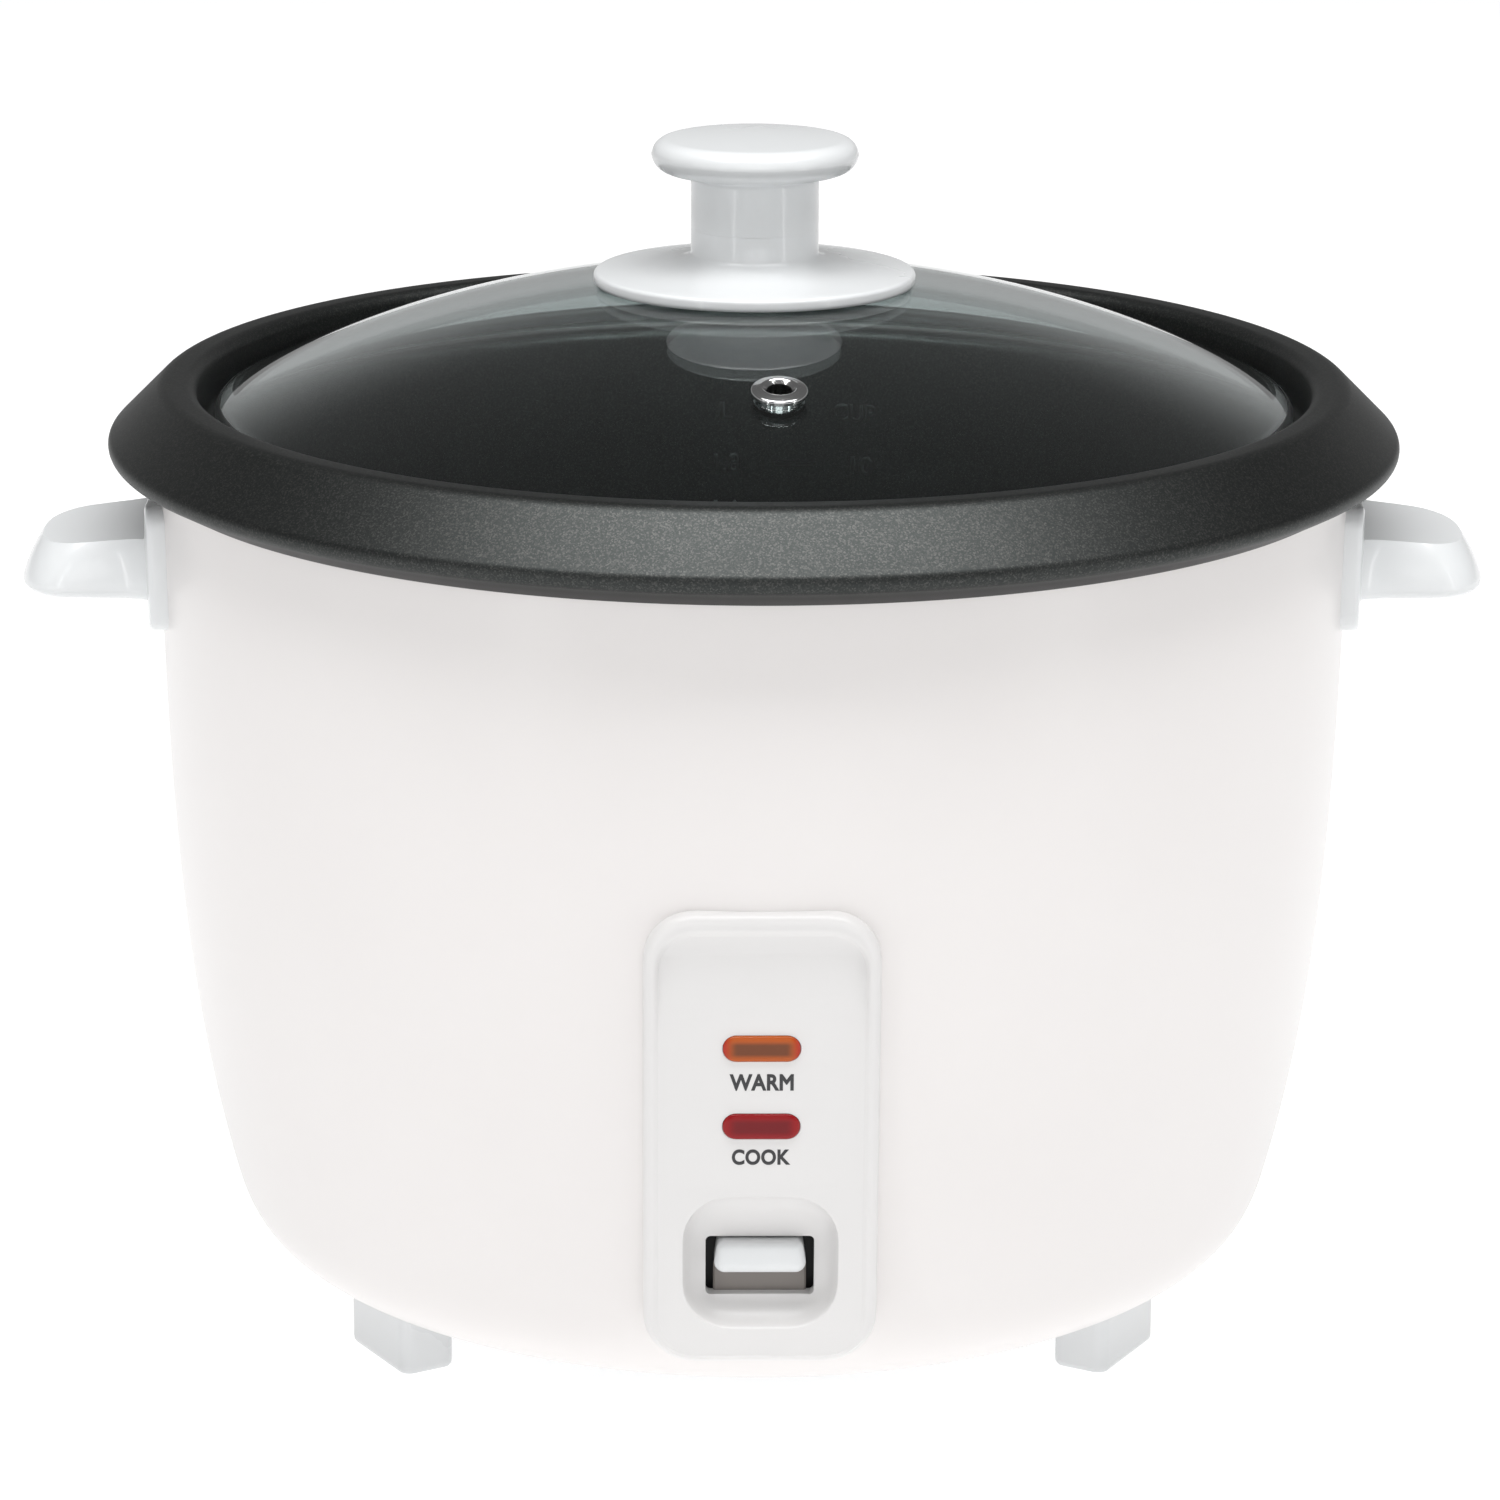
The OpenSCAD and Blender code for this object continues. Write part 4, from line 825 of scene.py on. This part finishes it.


# ---- Cook lever ----------------------------------------------------------
# A pivoted steel strip with a white plastic paddle on its end, and a shield under the paddle. Behind it a
# black sheet closes the slot; its black is painted shade, standing for the dark inside the body.
dress(white_plastic, "cook_paddle")
shield_grey = textured("shield_grey_brown", (0.2, 0.18, 0.165), 0.45, 1500.0, 0.1, 0.01)
# The black sheet behind the slot is painted shade for the inside of the body.
painted_shade_black = textured("painted_shade_black", (0.012, 0.012, 0.012), 0.6, 1500.0, 0.1, 0.01)
for plate_name, plate_w, low, high, front, back, plate_finish in (
        ("lever_shield", 17.6, 36.2, 44.0, -104.2, -103.2, shield_grey),
        ("slot_shade_sheet", 26.0, 35.5, 53.5, -101.2, -100.4, painted_shade_black)):
    loops = [[(p.x, y, (low + high) / 2 + p.y) for p in ring(plate_w, high - low, 0.8, inset=inset)]
             for inset, y in ((0.35, front), (0.0, front + 0.3), (0.0, back))]
    plate = skinned(plate_name, loops, plate_finish)
    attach(plate, "lever")


# ---- Inner pot -----------------------------------------------------------
# Pressed aluminium with a dark metallic-flake non-stick coat inside and out.
# Its wall steps out to the lid's seat, and the rim is rolled over the shell.
plate_low, plate_t, seat_gap, pot_t = 53.0, 12.0, 0.3, 1.5
hem_r = body_r + 1.5
brim_r = hem_r + 9.5
rim_z = shell_top + 7.2
brim_z = rim_z - 12.4
hem_z = brim_z - 5
ridge_r = brim_r - 12.5
rim_r = ridge_r - 6.6
seat_z = rim_z - 9.8
wall_r = rim_r - 7.6
floor_flat = wall_r - 25.6
floor_z = plate_low + plate_t + seat_gap + pot_t
pot_line = rounded([(r, floor_z + 2.4 * (1 - (r / floor_flat) ** 2)) for r in range(0, 72, 6)]
                   + [(floor_flat, floor_z, 20), (wall_r - 5, floor_z + 3, 22), (wall_r, seat_z, 2.4),
                      (rim_r - 0.8, seat_z, 2), (rim_r, rim_z, 2.6), (ridge_r, rim_z, 4),
                      (brim_r, brim_z, 2.4), (hem_r, hem_z)], 9)

flakes, given, flakes_out = effect(
    "metal_flake", [("Vector", "Vector", None), ("Scale", "Float", 2300.0)], ("Fleck", "Drift"))
grain = wire(flakes, "ShaderNodeTexVoronoi", Vector=given["Vector"], Scale=given["Scale"])
grain_parts = wire(flakes, "ShaderNodeSeparateColor", n_0=grain.outputs["Color"])
cloudy = wire(flakes, "ShaderNodeTexNoise", Vector=given["Vector"], Scale=14)
feed(flakes_out, Fleck=reckon(flakes, "POWER", grain_parts.outputs[0], 3.0), Drift=cloudy.outputs[0])

non_stick = finish("dark_non_stick", (0.1, 0.11, 0.11), 0.42, Metallic=1.0)
speckle = place_effect(non_stick, flakes, Scale=3800.0)
# Painted shade: the rim's rolled hem, below the brim and outside the wall, is coloured nearly black to stand
# for the shadow under the brim.
pot_tree = non_stick.node_tree
pot_place = wire(pot_tree, "ShaderNodeTexCoord").outputs["Object"]
pot_axes = wire(pot_tree, "ShaderNodeSeparateXYZ", n_0=pot_place)
clear_of_hem_shade = wire(pot_tree, "ShaderNodeMapRange", Value=pot_axes.outputs["Z"],
                From_Min=(brim_z - 2.6) * MM, From_Max=(brim_z - 0.8) * MM).outputs["Result"]
in_wall = reckon(pot_tree, "LESS_THAN", from_axis(pot_tree, pot_place), ridge_r * MM)
tint_by(non_stick, reckon(pot_tree, "MAXIMUM", clear_of_hem_shade, in_wall), (0.004, 0.0045, 0.0045),
        mixed(pot_tree, speckle["Fleck"], (0.039, 0.0425, 0.0415), (0.078, 0.078, 0.076)))
feed(shader_of(non_stick), Roughness=reckon(pot_tree, "MULTIPLY_ADD", speckle["Drift"], 0.12, 0.42))
raise_by(non_stick, speckle["Fleck"], 0.004, 0.5)

pot = turned("non_stick_pot", sheet(pot_line, pot_t, nose=True), non_stick, 256)
stands_for(pot, "pot", "non_stick_pot", "inner_pot")


# ---- Level marks ---------------------------------------------------------
# Water levels inside the pot's back wall: a litre column and a cup column,
# with a tick beside each number.
mark_turn = math.radians(6)
top_mark_z, mark_pitch, word_z = 152.6, 10.4, 164.5
mark_rows = (("1.8", "10"), ("1.6", "8"), ("1.2", "6"), ("0.8", "4"), ("0.4", "2"))
wall_lean = 5 / (seat_z - floor_z - 3)


def wall_at(z):
    return wall_r - 5 + wall_lean * (z - floor_z - 3)


def on_wall(turn_from_back, z):
    """A place on the pot's back wall, with X to the right and Z out of the wall."""
    return (Matrix.Rotation(-turn_from_back, 4, "Z")
            @ Matrix.Translation((0, (wall_at(z) - 0.05) * MM, z * MM))
            @ Matrix.Rotation(math.radians(90), 4, "X"))


# Painted highlight: the marks are raised in the pot's own coat, and their lighter grey stands for the light
# caught on their raised faces.
mark_coat = textured("worn_mark_coat", (0.16, 0.17, 0.168), 0.38, 1500.0, 0.1, 0.004, Metallic=1.0)
column_turn, cup_word_turn = 8.4, 7.4
labels = []
for k, (litres, cups) in enumerate(mark_rows):
    z = top_mark_z - mark_pitch * k
    labels += [(f"litre_mark_{k}", litres, 5.6, 4.4, -column_turn, z),
               (f"cup_mark_{k}", cups, 2.6 * len(cups), 4.4, column_turn, z)]
labels += [("litre_word", "L", 2.8, 4.2, -column_turn, word_z),
           ("cup_word", "CUP", 9.5, 4.2, cup_word_turn, word_z)]
for label_name, words, width, height, aside, z in labels:
    printed(label_name, words, width, height, on_wall(mark_turn + math.radians(aside), z), mark_coat,
            "pot")

ticks = bpy.data.node_groups.new("level_ticks", "GeometryNodeTree")
for label, kind in (("Count", "Int"), ("Pitch", "Float"), ("Top", "Float"), ("Length", "Float"),
                    ("Height", "Float"), ("Radius", "Float"), ("Lean", "Float"), ("Turn", "Float"),
                    ("Material", "Material")):
    ticks.interface.new_socket(label, in_out="INPUT", socket_type="NodeSocket" + kind)
ticks.interface.new_socket("Geometry", in_out="OUTPUT", socket_type="NodeSocketGeometry")
given = ticks.nodes.new("NodeGroupInput").outputs
bar_size = wire(ticks, "ShaderNodeCombineXYZ", X=given["Length"], Y=0.0006, Z=given["Height"])
bar = wire(ticks, "GeometryNodeMeshCube", Size=bar_size.outputs[0])
step = wire(ticks, "ShaderNodeCombineXYZ", X=0.0, Y=reckon(ticks, "MULTIPLY", given["Pitch"], given["Lean"]),
            Z=given["Pitch"])
first_tick = wire(ticks, "ShaderNodeCombineXYZ", X=0.0, Y=given["Radius"], Z=given["Top"])
row = wire(ticks, "GeometryNodeMeshLine", Count=given["Count"], Start_Location=first_tick.outputs[0],
           Offset=step.outputs[0])
placed = wire(ticks, "GeometryNodeInstanceOnPoints", Points=row.outputs[0], Instance=bar.outputs["Mesh"])
about = wire(ticks, "ShaderNodeCombineXYZ", X=0.0, Y=0.0, Z=given["Turn"])
swung = wire(ticks, "GeometryNodeTransform", Geometry=placed.outputs[0], Rotation=about.outputs[0])
solid = wire(ticks, "GeometryNodeRealizeInstances", Geometry=swung.outputs[0])
coat = wire(ticks, "GeometryNodeSetMaterial", Geometry=solid.outputs[0], Material=given["Material"])
ticks.links.new(coat.outputs[0], ticks.nodes.new("NodeGroupOutput").inputs[0])
tick_rows = added("level_tick_bars", bpy.data.meshes.new("level_tick_bars"))
group_on(tick_rows, ticks, Count=len(mark_rows), Pitch=-mark_pitch * MM, Top=top_mark_z * MM, Length=9 * MM,
         Height=0.8 * MM, Radius=wall_at(top_mark_z) * MM, Lean=wall_lean, Turn=-mark_turn,
         Material=mark_coat)
settle(tick_rows)
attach(tick_rows, "pot")


# ---- Lid glass -----------------------------------------------------------
# A dome of tempered glass with a ground edge, drilled for the knob's screw
# and for the steam vent.
glass_t, dome_rise = 4.0, 25.8
glass_r = rim_r - 2.4
glass_edge_z = seat_z + glass_t + seat_gap
dome_r = (glass_r ** 2 + dome_rise ** 2) / (2 * dome_rise)
dome_top = glass_edge_z + dome_rise
vent_at, vent_hole, vent_turn = 68.4, 2.4, math.radians(3)


def dome_z(r):
    return dome_top - dome_r + math.sqrt(dome_r ** 2 - r * r)


edge_r = glass_r - glass_t * 0.6
ground, given, ground_out = effect(
    "ground_edge", [("Vector", "Vector", None), ("Radius", "Float", 0.1)], ("Edge",))
feed(ground_out, Edge=reckon(ground, "GREATER_THAN", from_axis(ground, given["Vector"]), given["Radius"]))
clear_glass = finish("tempered_glass", (0.84, 0.92, 0.915), 0.0, Transmission_Weight=1.0, IOR=1.45)
streaks_on = place_effect(clear_glass, ripple, Scale=300.0, Roughness=0.01, Spread=0.015)
edge_mask = place_effect(clear_glass, ground, Radius=edge_r * MM)
feed(shader_of(clear_glass), Roughness=reckon(clear_glass.node_tree, "MULTIPLY_ADD", edge_mask["Edge"], 0.4,
                                              streaks_on["Roughness"]))

screw_hole_r, drill_r, drill_half = 3, vent_hole + 1, 12
dome_line = [Vector((r, dome_z(r))) for r in
             (screw_hole_r + (edge_r - screw_hole_r) * k / 40 for k in range(41))]
glass = turned("lid_dome", sheet(dome_line, glass_t, nose=True), clear_glass, 256)
vent_place = (Matrix.Rotation(vent_turn, 4, "Z")
              @ Matrix.Translation((0, -vent_at * MM, dome_z(vent_at) * MM))
              @ Matrix.Rotation(math.asin(vent_at / dome_r), 4, "X"))
drill = turned("vent_drill", [Vector(p) for p in ((0, -drill_half), (drill_r, -drill_half),
                                                  (drill_r, drill_half), (0, drill_half))], clear_glass, 48)
drill.data.transform(vent_place)
worked(glass, "DIFFERENCE", drill)
stands_for(glass, "lid", "lid_glass", "lid_glass")


# ---- Steam vent ----------------------------------------------------------
# A polished stainless eyelet, rolled over on both sides of the glass.
polished = textured("polished_stainless", (0.72, 0.72, 0.72), 0.14, 1400.0, 0.06, 0.002, Metallic=1.0)
tube_r, under_r, over_r = vent_hole + 0.9, vent_hole + 2.4, vent_hole + 3
eyelet_line = rounded([(vent_hole, -glass_t - 1), (under_r, -glass_t - 1), (under_r, -glass_t - 0.05),
                       (tube_r, -glass_t - 0.05), (tube_r, 0.05), (over_r, 0.05, 0.0), (over_r, 0.9, 0.5),
                       (tube_r, 1.5, 0.6), (vent_hole, 0.7)], 5)
eyelet = turned("vent_ring", eyelet_line, polished, 64)
eyelet.data.transform(vent_place)
stands_for(eyelet, "lid", "steel", "vent_eyelet")


# ---- Knob ----------------------------------------------------------------
# Two white mouldings screwed through the glass: a wide skirt that sweeps up
# into a stem, and a flat cap. A silicone washer seals the hole.
skirt_r, stem_r, cap_r, knob_h, cap_h = 32.0, 12.7, 20.5, 27.8, 7.2
screw_r = 1.9
knob_split = dome_top + 9.3
knob_top = dome_top + knob_h
skirt_edge = dome_z(skirt_r) + 0.3
skirt_curve = curve_of(Vector((skirt_r - 0.7, skirt_edge + 2.4)), Vector((skirt_r - 9, skirt_edge + 3.8)),
                       Vector((stem_r + 1.2, dome_top + 1.7)), Vector((stem_r, dome_top + 4.4)), 28)
skirt_line = ([Vector(p) for p in ((screw_r, dome_top + 1), (9, dome_top + 1), (10.5, dome_z(9) + 1.6),
                                   (skirt_r - 3, dome_z(skirt_r - 3) + 1.2))]
              + rounded([(skirt_r - 1.6, skirt_edge), (skirt_r, skirt_edge, 0.8),
                         (skirt_r, skirt_edge + 2.4, 0.9), (skirt_r - 4, skirt_edge + 3.05)], 6)[:-1]
              + skirt_curve[3:] + [Vector((stem_r, knob_split)), Vector((screw_r, knob_split))])
stands_for(turned("knob_base", skirt_line, white_plastic), "lid", "white_plastic", "knob_skirt")

cap_line = ([Vector((0, knob_split + 10)), Vector((1.6, knob_split + 10)), Vector((1.6, knob_split))]
            + rounded([(stem_r, knob_split + 0.02), (stem_r, knob_top - cap_h, 1.8),
                       (cap_r, knob_top - cap_h, 3.6), (cap_r, knob_top - 0.75, 3.4), (0, knob_top)], 9))
stands_for(turned("knob_grip", cap_line, white_plastic), "lid", "white_plastic", "knob_cap")

dress(textured("grey_silicone", (0.42, 0.42, 0.43), 0.55, 1500.0, 0.08, 0.01), "knob_gasket")
dress(textured("neon_lamp_glass", (0.9, 0.62, 0.45), 0.08, 900.0, 0.05, 0.004, Coat_Weight=0.6),
      "warm_lamp", "cook_lamp")
